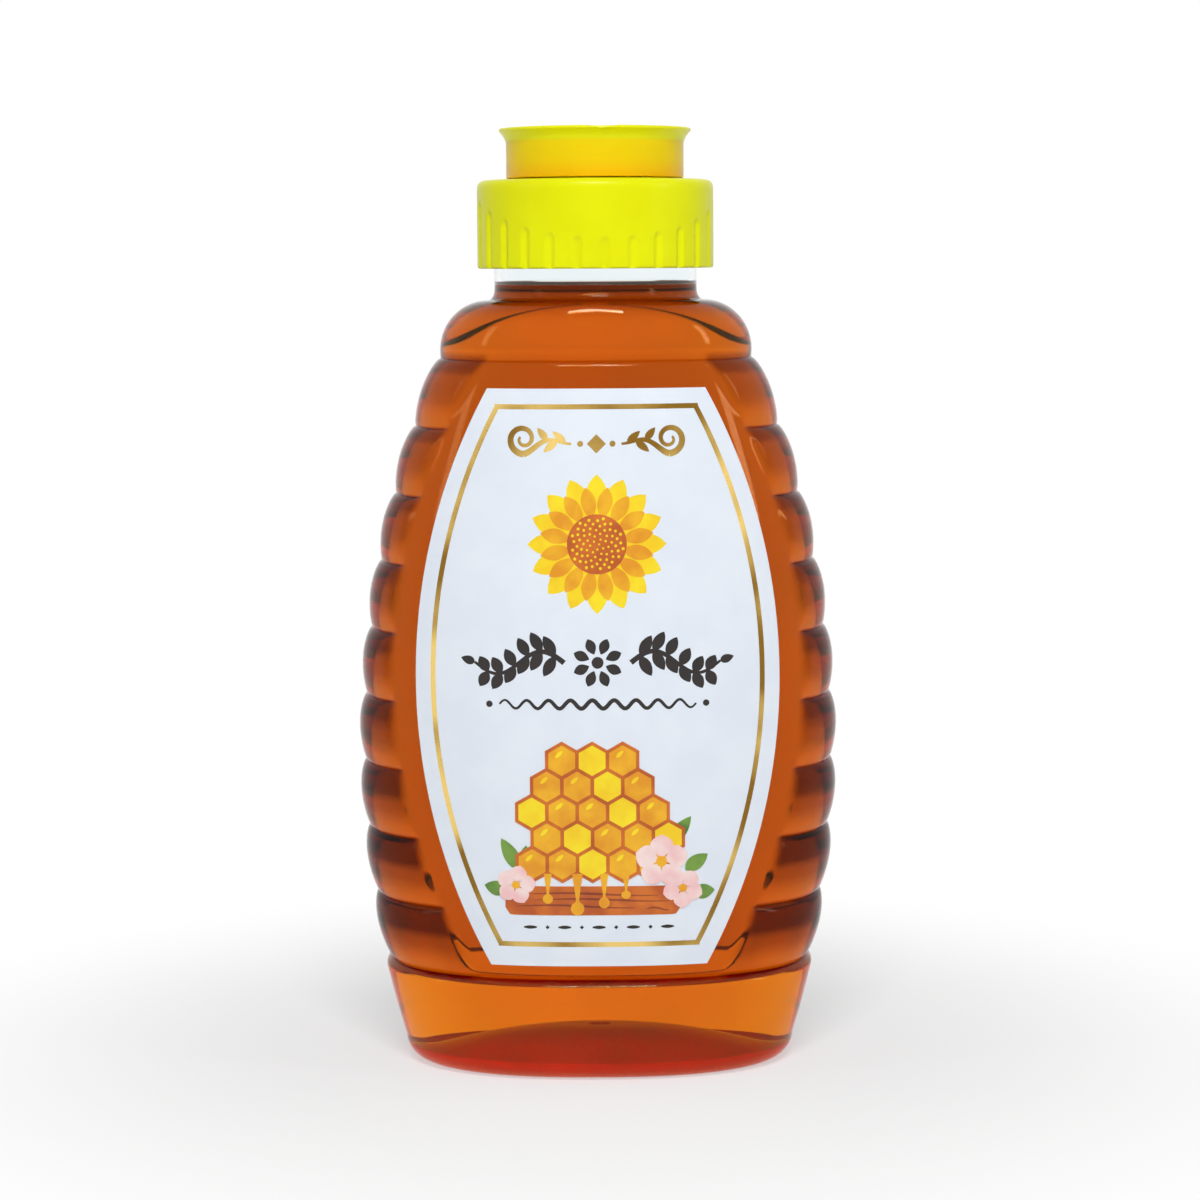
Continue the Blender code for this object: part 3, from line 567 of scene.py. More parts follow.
def make_honey_material():
    """Clear amber honey that darkens with depth."""
    material = new_material(
        "amber_honey", roughness=0.02, spread=0.015,
        colours=(srgb(255, 255, 255), srgb(250, 240, 226)), grain=300.0, drift=35.0,
    )
    tree = material.node_tree
    set_inputs(shader_of(material), {
        "Transmission Weight": 1.0, "IOR": HONEY_IOR, "Specular Tint": HONEY_GLOSS_TINT,
    })
    depth = node_of(tree, "ShaderNodeVolumeAbsorption")
    set_inputs(depth, {"Color": HONEY_DEPTH_COLOUR, "Density": HONEY_DEPTH_DENSITY})
    tree.links.new(depth.outputs["Volume"], tree.nodes["Material Output"].inputs["Volume"])
    return material


def make_yellow(name, high, low):
    """Moulded yellow plastic with a soft gloss and a fine spark-eroded grain."""
    material = new_material(
        name, roughness=0.3, spread=0.05, colours=(srgb(*high), srgb(*low)),
        grain=3500.0, drift=90.0, bump=0.006 * MM,
    )
    set_inputs(
        shader_of(material), {"IOR": YELLOW_IOR, "Specular IOR Level": YELLOW_GLOSS_LEVEL}
    )
    return material


def make_lid_yellow_painted_shade():
    """The lid's yellow with painted shade: a lemon flare over a warmer, darker waist, warmest down
    by the deck.
    """
    material = make_yellow("lid_yellow_painted_shade", (255, 255, 255), (250, 249, 240))
    tree = material.node_tree
    place = node_of(tree, "ShaderNodeTexCoord")
    parts = node_of(tree, "ShaderNodeSeparateXYZ")
    share = node_of(tree, "ShaderNodeMapRange")
    set_inputs(share, {"From Min": LID_BOTTOM, "From Max": LID_TOP})
    tree.links.new(place.outputs["Object"], parts.inputs["Vector"])
    tree.links.new(parts.outputs["Z"], share.inputs["Value"])
    tint_along(material, share.outputs["Result"], LID_PAINTED_SHADE_YELLOWS)
    return material


def make_ink(name, light, dark):
    return new_material(
        name, roughness=0.38, spread=0.08, colours=(srgb(*light), srgb(*dark)),
        grain=7000.0, drift=260.0,
    )


def make_gold_foil_painted_reflection():
    """Gold foil: metal whose colour drifts at random places from deep to light gold over the
    label, a painted reflection.
    """
    material = new_material(
        "gold_foil_painted_reflection", roughness=0.3, spread=0.08,
        colours=(srgb(140, 104, 40), srgb(240, 206, 120)),
        grain=2500.0, drift=55.0, drift_range=(0.4, 0.6),
    )
    set_inputs(shader_of(material), {"Metallic": 1.0})
    return material


clear_plastic = make_clear_plastic("clear_plastic", CLEAR_WALL_IOR)
wetted_plastic_painted_shade = make_wetted_plastic_painted_shade()
push_up_painted_light = make_push_up_painted_light()
amber_honey = make_honey_material()
collar_yellow = make_yellow("collar_yellow", (238, 242, 4), (234, 236, 0))
lid_yellow_painted_shade = make_lid_yellow_painted_shade()
label_paper = new_material(
    "label_paper", roughness=0.42, spread=0.06,
    colours=(srgb(234, 241, 250), srgb(229, 237, 248)),
    grain=5000.0, drift=120.0, bump=0.003 * MM,
)
gold_foil_painted_reflection = make_gold_foil_painted_reflection()
silicone = new_material(
    "milky_silicone", roughness=0.42, spread=0.06,
    colours=(srgb(226, 228, 224), srgb(214, 217, 212)), grain=3000.0, bump=0.004 * MM,
)
set_inputs(shader_of(silicone), {
    "Subsurface Weight": SILICONE_MILKINESS, "Subsurface Scale": SILICONE_DEPTH,
})
natural_plastic = new_material(
    "natural_plastic", roughness=0.4, spread=0.06,
    colours=(srgb(232, 231, 226), srgb(222, 221, 214)), grain=3000.0, bump=0.004 * MM,
)
white_foam = new_material(
    "white_foam", roughness=0.7, spread=0.1,
    colours=(srgb(242, 242, 240), srgb(230, 230, 226)), grain=2200.0, bump=0.02 * MM,
)


# Bottle body and honey


def arc_drop(distance, radius):
    """How far an arc of this radius falls away at a distance from its middle."""
    return radius - sqrt(radius * radius - distance * distance)


def arc_radius(distance, drop):
    """The radius of the arc that falls away by the drop at a distance from its middle."""
    return (distance * distance + drop * drop) / (2.0 * drop)


BARREL_RISE = HIGHEST_GROOVE_HEIGHT - WIDEST_HEIGHT
SIDE_ARC_RADIUS = arc_radius(
    BARREL_RISE, BODY_HALF_WIDTH - SHOULDER_HALF_WIDTH - SHOULDER_SIDE_STEP
)
FRONT_ARC_RADIUS = arc_radius(
    BARREL_RISE, BODY_HALF_DEPTH - SHOULDER_HALF_DEPTH - SHOULDER_FRONT_STEP
)
PANEL_ARC_RADIUS = arc_radius(
    HIGHEST_GROOVE_HEIGHT - PANEL_MIDDLE_HEIGHT,
    PANEL_HALF_WIDTH - SHOULDER_HALF_WIDTH + PANEL_TOP_MARGIN,
)
LABEL_ARC_RADIUS = PANEL_ARC_RADIUS + LABEL_ARC_EXTRA

# One level of the body: half axes, plan power, how far its sides and front swell, and
# the honey's painted light and shade at its sides and front
Level = namedtuple(
    "Level", "height axes power side front tones",
    defaults=(0.0, 0.0, (BELT_PAINTED_LIGHT, BELT_PAINTED_LIGHT)),
)


def crest_axes(height):
    away = height - WIDEST_HEIGHT
    return (
        BODY_HALF_WIDTH - SKIN_MARGIN - arc_drop(away, SIDE_ARC_RADIUS),
        BODY_HALF_DEPTH - SKIN_MARGIN - arc_drop(away, FRONT_ARC_RADIUS),
    )


def groove_axes(height):
    return [axis - RIB_DEPTH for axis in crest_axes(height)]


def turn_at(across, half_width, power):
    """The turn at which the outline lies this far across from the middle."""
    return acos((across / half_width) ** (power / 2.0))


def column_turns(height):
    """Each column's turn at a height, with 1 on the ribbed sides and 0 on the panels."""
    height = min(max(height, LOWEST_GROOVE_HEIGHT), HIGHEST_GROOVE_HEIGHT)
    half_width = groove_axes(height)[0]
    edge = PANEL_HALF_WIDTH - arc_drop(height - PANEL_MIDDLE_HEIGHT, PANEL_ARC_RADIUS)
    panel = turn_at(edge, half_width, BODY_CORNER_POWER)
    ramp = turn_at(edge + PANEL_RAMP, half_width, BODY_CORNER_POWER)
    turns = []
    for start in (0.0, pi):
        for step in range(SIDE_SPANS):
            turns.append((start + ramp * (2.0 * step / SIDE_SPANS - 1.0), 1.0))
        for step in range(RAMP_SPANS):
            share = step / RAMP_SPANS
            side_share = 1.0 - smooth_step(share, 0.0, 1.0)
            turns.append((start + part_way(ramp, panel, share), side_share))
        for step in range(PANEL_SPANS):
            turns.append((start + part_way(panel, pi - panel, step / PANEL_SPANS), 0.0))
        for step in range(RAMP_SPANS):
            share = step / RAMP_SPANS
            side_share = smooth_step(share, 0.0, 1.0)
            turns.append((start + part_way(pi - panel, pi - ramp, share), side_share))
    return turns


def plan_point(axes, power, turn, height):
    """A point of the superellipse outline; turn runs from +X towards +Y."""
    across, back = cos(turn), sin(turn)
    return Vector((
        axes[0] * abs(across) ** (2.0 / power) * (1.0 if across >= 0.0 else -1.0),
        axes[1] * abs(back) ** (2.0 / power) * (1.0 if back >= 0.0 else -1.0),
        height,
    ))


def base_levels():
    """The nub, the push-up dome, the flat stand ring, the heel and the smooth belt."""
    foot = crest_axes(HEEL_RADIUS)
    stand_inner = HEEL_RADIUS + STAND_RING_WIDTH
    dome_edge = [axis - stand_inner - PUSH_UP_STEP for axis in foot]
    # The push-up dome takes the honey's painted deep-red light
    dome_painted_shades = (DOME_PAINTED_LIGHT, DOME_PAINTED_LIGHT)
    levels = []
    for step in range(NUB_STEPS + 1):
        bend = pi / 2 * step / NUB_STEPS
        size = NUB_RADIUS * sin(bend)
        height = PUSH_UP_HEIGHT - NUB_HEIGHT * cos(bend)
        levels.append(Level(height, (size, size), ROUND_POWER, tones=dome_painted_shades))
    for step in range(1, DOME_STEPS + 1):
        share = step / DOME_STEPS
        axes = [part_way(NUB_RADIUS, axis, share) for axis in dome_edge]
        rise = (PUSH_UP_HEIGHT - PUSH_UP_STEP) * (1.0 - share ** DOME_POWER)
        power = part_way(ROUND_POWER, BODY_CORNER_POWER, share)
        levels.append(Level(PUSH_UP_STEP + rise, axes, power, tones=dome_painted_shades))
    for share in PUSH_UP_STEP_SHARES:
        axes = [axis + PUSH_UP_STEP * share for axis in dome_edge]
        height = PUSH_UP_STEP * (1.0 - smooth_step(share, 0.0, 1.0))
        levels.append(Level(height, axes, BODY_CORNER_POWER))
    for step in range(HEEL_STEPS + 1):
        bend = pi / 2 * step / HEEL_STEPS
        axes = [axis - HEEL_RADIUS * (1.0 - sin(bend)) for axis in foot]
        levels.append(Level(HEEL_RADIUS * (1.0 - cos(bend)), axes, BODY_CORNER_POWER))
    belt_top = LOWEST_GROOVE_HEIGHT - GROOVE_LIP
    for step in range(1, BELT_STEPS + 1):
        height = part_way(HEEL_RADIUS, belt_top, step / BELT_STEPS)
        levels.append(Level(height, crest_axes(height), BODY_CORNER_POWER))
    for step in range(1, LIP_STEPS):
        share = step / LIP_STEPS
        height = belt_top + GROOVE_LIP * share
        axes = [axis + RIB_DEPTH * cos(pi / 2 * share) for axis in groove_axes(height)]
        levels.append(Level(height, axes, BODY_CORNER_POWER))
    return levels


def painted_rib_shade(share, height):
    """The honey's painted shade and light on a rib: painted shade under the groove, painted light
    over the next one.
    """
    low_share = 1.0 - smooth_step(height, LOWEST_GROOVE_HEIGHT, HIGHEST_GROOVE_HEIGHT)
    deep = part_way(*RIB_DEEP_PAINTED_SHADES, low_share)
    middle = part_way(*RIB_MIDDLE_PAINTED_SHADES, low_share)
    light = part_way(*RIB_PAINTED_LIGHTS, low_share)
    band_end = part_way(*RIB_BAND_SHARES, low_share)
    under_band = smooth_step(share, band_end, band_end + RIB_BAND_FADE_SHARE)
    painted_shade = part_way(deep, middle, under_band)
    return painted_shade + (light - middle) * smooth_step(share, *RIB_LIGHT_SHARES)


def rib_swell(share):
    """How far a rib stands out of its grooves, from 0 to 1, going down from its top."""
    return sin(pi * share ** RIB_RISE_POWER) ** RIB_ROUND_POWER if share else 0.0


def rib_levels():
    """The ribs, which swell on the narrow sides and run out at the label panels."""
    panel = RIB_DEPTH * PANEL_LEVEL_SHARE
    lowest = LOWEST_GROOVE_HEIGHT
    tones = (GROOVE_PAINTED_SHADE, PANEL_PAINTED_SHADE)
    levels = [Level(lowest, groove_axes(lowest), BODY_CORNER_POWER, tones=tones)]
    for rib in range(RIB_COUNT):
        top = LOWEST_GROOVE_HEIGHT + (rib + 1) * RIB_PITCH
        for share in reversed(RIB_SHARES):
            height = top - share * RIB_PITCH
            side = RIB_DEPTH * rib_swell(share)
            # The panels start in the lowest groove and end in the highest
            at_end = (rib == 0 and share > 0.5) or (rib == RIB_COUNT - 1 and share < 0.5)
            front = min(side, panel) if at_end else panel
            tones = (painted_rib_shade(share, height), PANEL_PAINTED_SHADE)
            levels.append(
                Level(height, groove_axes(height), BODY_CORNER_POWER, side, front, tones)
            )
    return levels


def shoulder_levels():
    """The shoulder, rounding in from its oval wall to the root of the round neck."""
    shoulder = (SHOULDER_HALF_WIDTH, SHOULDER_HALF_DEPTH)
    root = NECK_RADIUS + NECK_ROOT_FLARE
    levels = []
    for step in range(SHOULDER_STEPS + 1):
        bend = pi / 2 * step / SHOULDER_STEPS
        height = SHOULDER_START + SHOULDER_ROUND_HEIGHT * sin(bend)
        axes = [part_way(root, axis, cos(bend)) for axis in shoulder]
        power = part_way(ROUND_POWER, BODY_CORNER_POWER, cos(bend))
        # Painted light on the shoulder's rounding, turning to the neck's painted shade
        painted_shade = part_way(SHOULDER_PAINTED_SHADE, NECK_PAINTED_SHADE, smooth_step(bend, *SHOULDER_PAINTED_SHADE_FADE))
        levels.append(Level(height, axes, power, tones=(painted_shade, painted_shade)))
    for step in range(1, ROOT_STEPS + 1):
        bend = pi / 2 * step / ROOT_STEPS
        radius = NECK_RADIUS + NECK_ROOT_FLARE * (1.0 - sin(bend))
        height = SHOULDER_TOP + NECK_ROOT_RISE * (1.0 - cos(bend))
        levels.append(Level(height, (radius, radius), ROUND_POWER, tones=(NECK_PAINTED_SHADE,) * 2))
    return levels


def neck_levels(top):
    count = max(1, round((top - NECK_START) / NECK_STEP))
    heights = [part_way(NECK_START, top, (step + 1) / count) for step in range(count)]
    return [
        Level(height, (NECK_RADIUS, NECK_RADIUS), ROUND_POWER, tones=(NECK_PAINTED_SHADE,) * 2)
        for height in heights
    ]


def body_skin(top):
    """An open skin over all the levels up to a height, closed at the middle of its base.

    A post of stacked edges is spun into rows and columns, and each of their crossings
    then takes its place on the body.
    """
    levels = base_levels() + rib_levels() + shoulder_levels() + neck_levels(top)
    turns = [column_turns(level.height) for level in levels]
    bm = bmesh.new()
    painted_shade_layer = bm.verts.layers.float.new(PAINTED_SHADE_LAYER)
    post = [bm.verts.new((1.0, 0.0, row)) for row in range(len(levels))]
    edges = [bm.edges.new(pair) for pair in zip(post, post[1:])]
    bmesh.ops.spin(
        bm, geom=post + edges, cent=(0, 0, 0), axis=(0, 0, 1), angle=2 * pi,
        steps=BODY_COLUMNS, use_merge=True,
    )
    for vert in bm.verts:
        row = round(vert.co.z)
        column = round(atan2(vert.co.y, vert.co.x) / (2 * pi) * BODY_COLUMNS) % BODY_COLUMNS
        level = levels[row]
        turn, side_share = turns[row][column]
        swell = part_way(level.front, level.side, side_share)
        axes = [axis + swell for axis in level.axes]
        vert.co = plan_point(axes, level.power, turn, level.height)
        # Each vertex keeps the honey's painted light and shade, blended from the level's front to
        # its side
        side_painted_shade, front_painted_shade = level.tones
        vert[painted_shade_layer] = part_way(front_painted_shade, side_painted_shade, side_share)
    bmesh.ops.remove_doubles(bm, verts=bm.verts, dist=MERGE_DISTANCE)
    point_outwards(bm)
    return bm


def wall_at(height):
    """Wall thickness: thin where the bottle is blown, thick in the moulded neck."""
    return part_way(BODY_WALL, NECK_WALL, smooth_step(height, SHOULDER_TOP, NECK_START))


def inset_point(vert, depth):
    """Where a vertex of a skin goes when the skin moves inwards by a depth."""
    return vert.co - vert.normal * (depth * min(vert.calc_shell_factor(), MITRE_LIMIT))


def thread_ridge(place, start, turns):
    """How much of the thread's depth stands at a point, from 0 to 1."""
    turn = atan2(place.y, place.x) % (2 * pi)
    ridge = 0.0
    for lap in range(int(turns) + 2):
        along = turn + 2 * pi * lap
        centre = start + THREAD_PITCH * along / (2 * pi)
        away = abs(place.z - centre) / THREAD_HALF_WIDTH
        side = 1.0 - smooth_step(away, THREAD_CREST_SHARE, 1.0)
        end = 2 * pi * turns
        run_in = smooth_step(along, 0.0, THREAD_RUN_OUT)
        run_out = 1.0 - smooth_step(along, end - THREAD_RUN_OUT, end)
        ridge = max(ridge, side * run_in * run_out)
    return ridge


def grow_thread(bm, radius, height_range, start, turns, depth):
    """Push a round wall's vertices out, or in where depth is negative, to a thread."""
    for vert in bm.verts:
        here = hypot(vert.co.x, vert.co.y)
        if abs(here - radius) > WALL_TOLERANCE:
            continue
        if not height_range[0] < vert.co.z < height_range[1]:
            continue
        scale = 1.0 + depth * thread_ridge(vert.co, start, turns) / here
        vert.co.x *= scale
        vert.co.y *= scale


def make_bottle():
    bm = body_skin(MOUTH_HEIGHT)
    copied = bmesh.ops.duplicate(bm, geom=bm.verts[:] + bm.edges[:] + bm.faces[:])["geom"]
    bm.normal_update()
    inner = part_verts(copied)
    inner_faces = [part for part in copied if isinstance(part, bmesh.types.BMFace)]
    places = [inset_point(vert, wall_at(vert.co.z)) for vert in inner]
    for vert, place in zip(inner, places):
        vert.co = place
    bmesh.ops.reverse_faces(bm, faces=inner_faces)
    bmesh.ops.bridge_loops(bm, edges=open_edges(bm))
    # The mouth's two edges lie between its flat top and an upright wall
    rim = [
        edge for edge in bm.edges
        if min(vert.co.z for vert in edge.verts) > MOUTH_HEIGHT - MERGE_DISTANCE
        and len({face.normal.z > 0.5 for face in edge.link_faces}) == 2
    ]
    bmesh.ops.bevel(
        bm, geom=rim, offset=EDGE_ROUND, segments=2, profile=0.5, affect="EDGES", material=-1
    )
    grow_thread(
        bm, NECK_RADIUS, (NECK_START, MOUTH_HEIGHT - EDGE_ROUND * 2),
        MOUTH_HEIGHT - THREAD_DROP, THREAD_TURNS, THREAD_DEPTH,
    )
    bm.normal_update()
    # Material 0 is the dry wall, 1 the wetted wall with the honey's painted light and shade, and 2
    # the push-up painted deep red as light through deep honey
    for face in bm.faces:
        height = face.calc_center_median().z
        over_push_up = height < PUSH_UP_HEIGHT + BODY_WALL and face.normal.z > PUSH_UP_FACING
        face.material_index = int(height < FILL_HEIGHT) + int(over_push_up)
    bottle = finish_piece(bm, "clear_bottle", clear_plastic, "bottle", "bottle_body")
    bottle.data.materials.append(wetted_plastic_painted_shade)
    bottle.data.materials.append(push_up_painted_light)


def make_honey():
    """The fill touches the wall all over, and climbs a little at its edge."""
    bm = body_skin(FILL_HEIGHT + MENISCUS_RISE)
    places = [inset_point(vert, wall_at(vert.co.z) * HONEY_WALL_SHARE) for vert in bm.verts]
    for vert, place in zip(bm.verts, places):
        vert.co = place
    top = max(vert.co.z for vert in bm.verts)
    rim = hypot(*max(bm.verts, key=lambda vert: vert.co.z).co.xy)
    for share in MENISCUS_RING_SHARES:
        reach = MENISCUS_REACH * share
        grown = bmesh.ops.extrude_edge_only(bm, edges=open_edges(bm))["geom"]
        drop = MENISCUS_RISE * (1.0 - max(0.0, 1.0 - share) ** 2)
        for vert in part_verts(grown):
            scale = (rim - reach) / hypot(vert.co.x, vert.co.y)
            vert.co = Vector((vert.co.x * scale, vert.co.y * scale, top - drop))
    bmesh.ops.contextual_create(bm, geom=open_edges(bm))
    honey = finish_piece(bm, "honey_fill", amber_honey, "bottle", "honey")


# Label


def label_point(across, height, out):
    """A point over the front panel, at a distance out of its surface."""
    lift = RIB_DEPTH * PANEL_LEVEL_SHARE + out
    width, depth = [axis + lift for axis in groove_axes(height)]
    share = 1.0 - (abs(across) / width) ** BODY_CORNER_POWER
    return Vector((across, -depth * share ** (1.0 / BODY_CORNER_POWER), height))


def label_half_width(height):
    widest = PANEL_HALF_WIDTH - LABEL_SIDE_MARGIN
    return widest - arc_drop(height - LABEL_MIDDLE, LABEL_ARC_RADIUS)


def make_label():
    bm = bmesh.new()
    bmesh.ops.create_grid(bm, x_segments=LABEL_COLUMNS, y_segments=LABEL_ROWS, size=1.0)
    half_height = (LABEL_TOP - LABEL_BOTTOM) / 2
    for vert in bm.verts:
        height = LABEL_MIDDLE + vert.co.y * half_height
        across = vert.co.x * label_half_width(height)
        vert.co = label_point(across, height, LABEL_LIFT)
    bm.normal_update()
    front = bmesh.ops.extrude_face_region(bm, geom=bm.faces[:])["geom"]
    for vert in part_verts(front):
        vert.co = label_point(vert.co.x, vert.co.z, LABEL_FRONT)
    point_outwards(bm)
    label = finish_piece(bm, "barrel_label", label_paper, "bottle", "front_label")


# Print on the label, drawn flat as across and height, then bent over the label

STROKE_LOOK_SHARE = 0.01  # a stroke's direction is read this far before and ahead
LEAF_ROUND_POWER = 0.8  # below 1, a leaf is fuller than half a sine wave


def tapered(start, end):
    """The half width of a stroke that runs evenly from one value to another."""
    return lambda share: part_way(start, end, share)


def swollen(ends, extra):
    """The half width of a stroke that is widest in its middle."""
    return lambda share: ends + extra * sin(pi * share)


def mirrored(lean, side):
    """A direction on the right side of a drawing, or its mirror image on the left."""
    return lean if side > 0 else pi - lean


def add_disc(art, across, height, radius, sides):
    bmesh.ops.create_circle(
        art, cap_ends=True, segments=sides, radius=radius,
        matrix=Matrix.Translation((across, 0.0, height)) @ Matrix.Rotation(pi / 2, 4, "X"),
    )


def add_stroke(art, path, half_width, steps):
    """A stroke along path(share), as wide on each side as half_width(share) says."""
    made = bmesh.ops.create_grid(art, x_segments=steps, y_segments=1, size=1.0)
    for vert in made["verts"]:
        share = (vert.co.x + 1.0) / 2.0
        side = vert.co.y
        near = Vector(path(max(share - STROKE_LOOK_SHARE, 0.0)))
        ahead = Vector(path(min(share + STROKE_LOOK_SHARE, 1.0)))
        along = (ahead - near).normalized()
        middle = Vector(path(share))
        reach = half_width(share) * side
        vert.co = Vector((middle.x - along.y * reach, 0.0, middle.y + along.x * reach))


def add_leaf(art, across, height, length, half_width, lean, fullness=0.8, steps=9):
    """A leaf or petal from its stalk end; lean is its direction from +X towards +Z."""
    def path(share):
        return across + length * share * cos(lean), height + length * share * sin(lean)

    def leaf_width(share):
        return half_width * sin(pi * share ** fullness) ** LEAF_ROUND_POWER + INK_STEP

    add_stroke(art, path, leaf_width, steps)


def add_flower(art, across, height, inner, outer, count, half_width, turn=0.0, fullness=1.1):
    for petal in range(count):
        lean = turn + 2 * pi * petal / count
        add_leaf(
            art, across + inner * cos(lean), height + inner * sin(lean),
            outer - inner, half_width, lean, fullness,
        )


def print_ink(name, art, ink, layer):
    """Bend a flat drawing over the label as a thin coat of ink."""
    bmesh.ops.remove_doubles(art, verts=art.verts, dist=MERGE_DISTANCE)
    last_column = int(label_half_width(LABEL_MIDDLE) / INK_COLUMN)
    cuts = [((INK_COLUMN * column, 0, 0), (1, 0, 0))
            for column in range(-last_column, last_column + 1)]
    cuts += [((0, 0, INK_ROW * row), (0, 0, 1))
             for row in range(int(LABEL_BOTTOM / INK_ROW), int(LABEL_TOP / INK_ROW) + 1)]
    for place, facing in cuts:
        geometry = art.verts[:] + art.edges[:] + art.faces[:]
        bmesh.ops.bisect_plane(
            art, geom=geometry, plane_co=place, plane_no=facing, dist=MERGE_DISTANCE
        )
    top = bmesh.ops.extrude_face_region(art, geom=art.faces[:])["geom"]
    top_verts = set(part_verts(top))
    for vert in art.verts:
        lift = INK_STEP * layer if vert in top_verts else -INK_SINK
        vert.co = label_point(vert.co.x, vert.co.z, LABEL_FRONT + lift)
    bmesh.ops.recalc_face_normals(art, faces=art.faces)
    piece = finish_piece(art, name, ink, "bottle")


# Gold line inside the label's edge

BORDER_MARGIN = 3.0 * MM
BORDER_BOTTOM_MARGIN = 3.8 * MM
BORDER_CORNER_MARGIN = 1.7 * MM
BORDER_HALF_WIDTH = 0.42 * MM


def draw_border(art):
    """A barrel-shaped gold line, straight above and below, arched at its sides."""
    top = LABEL_TOP - BORDER_MARGIN
    bottom = LABEL_BOTTOM + BORDER_BOTTOM_MARGIN
    corner = label_half_width(LABEL_TOP) - BORDER_CORNER_MARGIN
    widest = label_half_width(LABEL_MIDDLE) - BORDER_MARGIN
    radius = arc_radius((top - bottom) / 2, widest - corner)
    middle = (top + bottom) / 2
    half_width = tapered(BORDER_HALF_WIDTH, BORDER_HALF_WIDTH)
    for side in (-1, 1):
        def arch(share):
            height = part_way(bottom, top, share)
            return side * (widest - arc_drop(height - middle, radius)), height

        add_stroke(art, arch, half_width, steps=60)
    for height in (bottom, top):
        def bar(share):
            return (2 * share - 1) * (corner + BORDER_HALF_WIDTH), height

        add_stroke(art, bar, half_width, steps=24)


# Gold scrolls at the top

SCROLL_HEIGHT = 108.9 * MM
SCROLL_DIAMOND_RADIUS = 1.6 * MM
SCROLL_BEAD_PLACE = 2.7 * MM
SCROLL_BEAD_RADIUS = 0.5 * MM
SCROLL_STEM_START = 4.2 * MM
SCROLL_STEM_LENGTH = 8.0 * MM
SCROLL_STEM_RISE = 1.7 * MM
SCROLL_STEM_TURN = 1.5 * pi
SCROLL_STEM_HALF_WIDTHS = (0.2 * MM, 0.54 * MM)
SCROLL_CURL_RADIUS = 2.5 * MM
SCROLL_CURL_TURN = 2.7 * pi
SCROLL_CURL_SHRINK_SHARE = 0.78
SCROLL_CURL_HALF_WIDTHS = (0.56 * MM, 0.2 * MM)
SCROLL_LEAF_HALF_WIDTH = 0.6 * MM
# Each leaf's share of the way along the stem, its lean and its length in millimetres
SCROLL_LEAVES = ((0.12, 0.75, 2.9), (0.3, -0.7, 2.9), (0.5, 0.9, 2.6))


def draw_scroll(art):
    """Mirrored scrolls with leaves on both sides of a diamond."""
    curl_height = SCROLL_HEIGHT + SCROLL_CURL_RADIUS - SCROLL_STEM_RISE
    add_disc(art, 0.0, SCROLL_HEIGHT, SCROLL_DIAMOND_RADIUS, sides=4)
    for side in (-1, 1):
        add_disc(art, side * SCROLL_BEAD_PLACE, SCROLL_HEIGHT, SCROLL_BEAD_RADIUS, sides=20)

        def stem(share):
            across = SCROLL_STEM_START + SCROLL_STEM_LENGTH * share
            rise = SCROLL_STEM_RISE * sin(SCROLL_STEM_TURN * share) * share
            return side * across, SCROLL_HEIGHT + rise

        def curl(share):
            bend = -pi / 2 + SCROLL_CURL_TURN * share
            size = SCROLL_CURL_RADIUS * (1.0 - SCROLL_CURL_SHRINK_SHARE * share)
            across = SCROLL_STEM_START + SCROLL_STEM_LENGTH + size * cos(bend)
            return side * across, curl_height + size * sin(bend)

        add_stroke(art, stem, tapered(*SCROLL_STEM_HALF_WIDTHS), steps=24)
        add_stroke(art, curl, tapered(*SCROLL_CURL_HALF_WIDTHS), steps=48)
        for place, lean, length in SCROLL_LEAVES:
            add_leaf(
                art, *stem(place), length * MM, SCROLL_LEAF_HALF_WIDTH, mirrored(lean, side)
            )


# Dark garland, with a wave under it, and the dashes at the bottom

GARLAND_HEIGHT = 72.4 * MM
GARLAND_HEART_RADIUS = 1.0 * MM
GARLAND_PETAL_COUNT = 8
GARLAND_PETAL_START = 1.5 * MM
GARLAND_PETAL_END = 4.3 * MM
GARLAND_PETAL_HALF_WIDTH = 0.85 * MM
BRANCH_START = 5.6 * MM
BRANCH_LENGTH = 15.0 * MM
BRANCH_RISE = 1.9 * MM
BRANCH_HALF_WIDTHS = (0.46 * MM, 0.22 * MM)
BRANCH_LEAF_PLACES = [0.1 + 0.15 * pair for pair in range(6)]
BRANCH_LEAF_SPREAD = 1.05  # radians off the branch
BRANCH_LEAF_LENGTH = 3.9 * MM
BRANCH_LEAF_SHRINK = 0.2 * MM  # from each pair of leaves to the next
BRANCH_LEAF_HALF_WIDTH = 0.95 * MM
BRANCH_LEAF_FULLNESS = 0.95
BRANCH_TIP_LENGTH = 2.4 * MM
BRANCH_TIP_HALF_WIDTH = 0.7 * MM
BRANCH_TIP_LEAN = 0.3

WAVE_HEIGHT = 65.4 * MM
WAVE_COUNT = 9
WAVE_HALF_LENGTH = 16.5 * MM
WAVE_RISE = 0.7 * MM
WAVE_SWELL = (0.16 * MM, 0.2 * MM)  # half its width at its ends, and what its middle adds
WAVE_BEAD_PLACE = 18.2 * MM
WAVE_BEAD_RADIUS = 0.55 * MM

DASH_HEIGHT = 27.3 * MM
DASH_PITCH = 2.9 * MM
DASH_LENGTH = 2.2 * MM
DASH_SWELL = (0.1 * MM, 0.2 * MM)
DASH_DIAMOND_RADIUS = 0.36 * MM


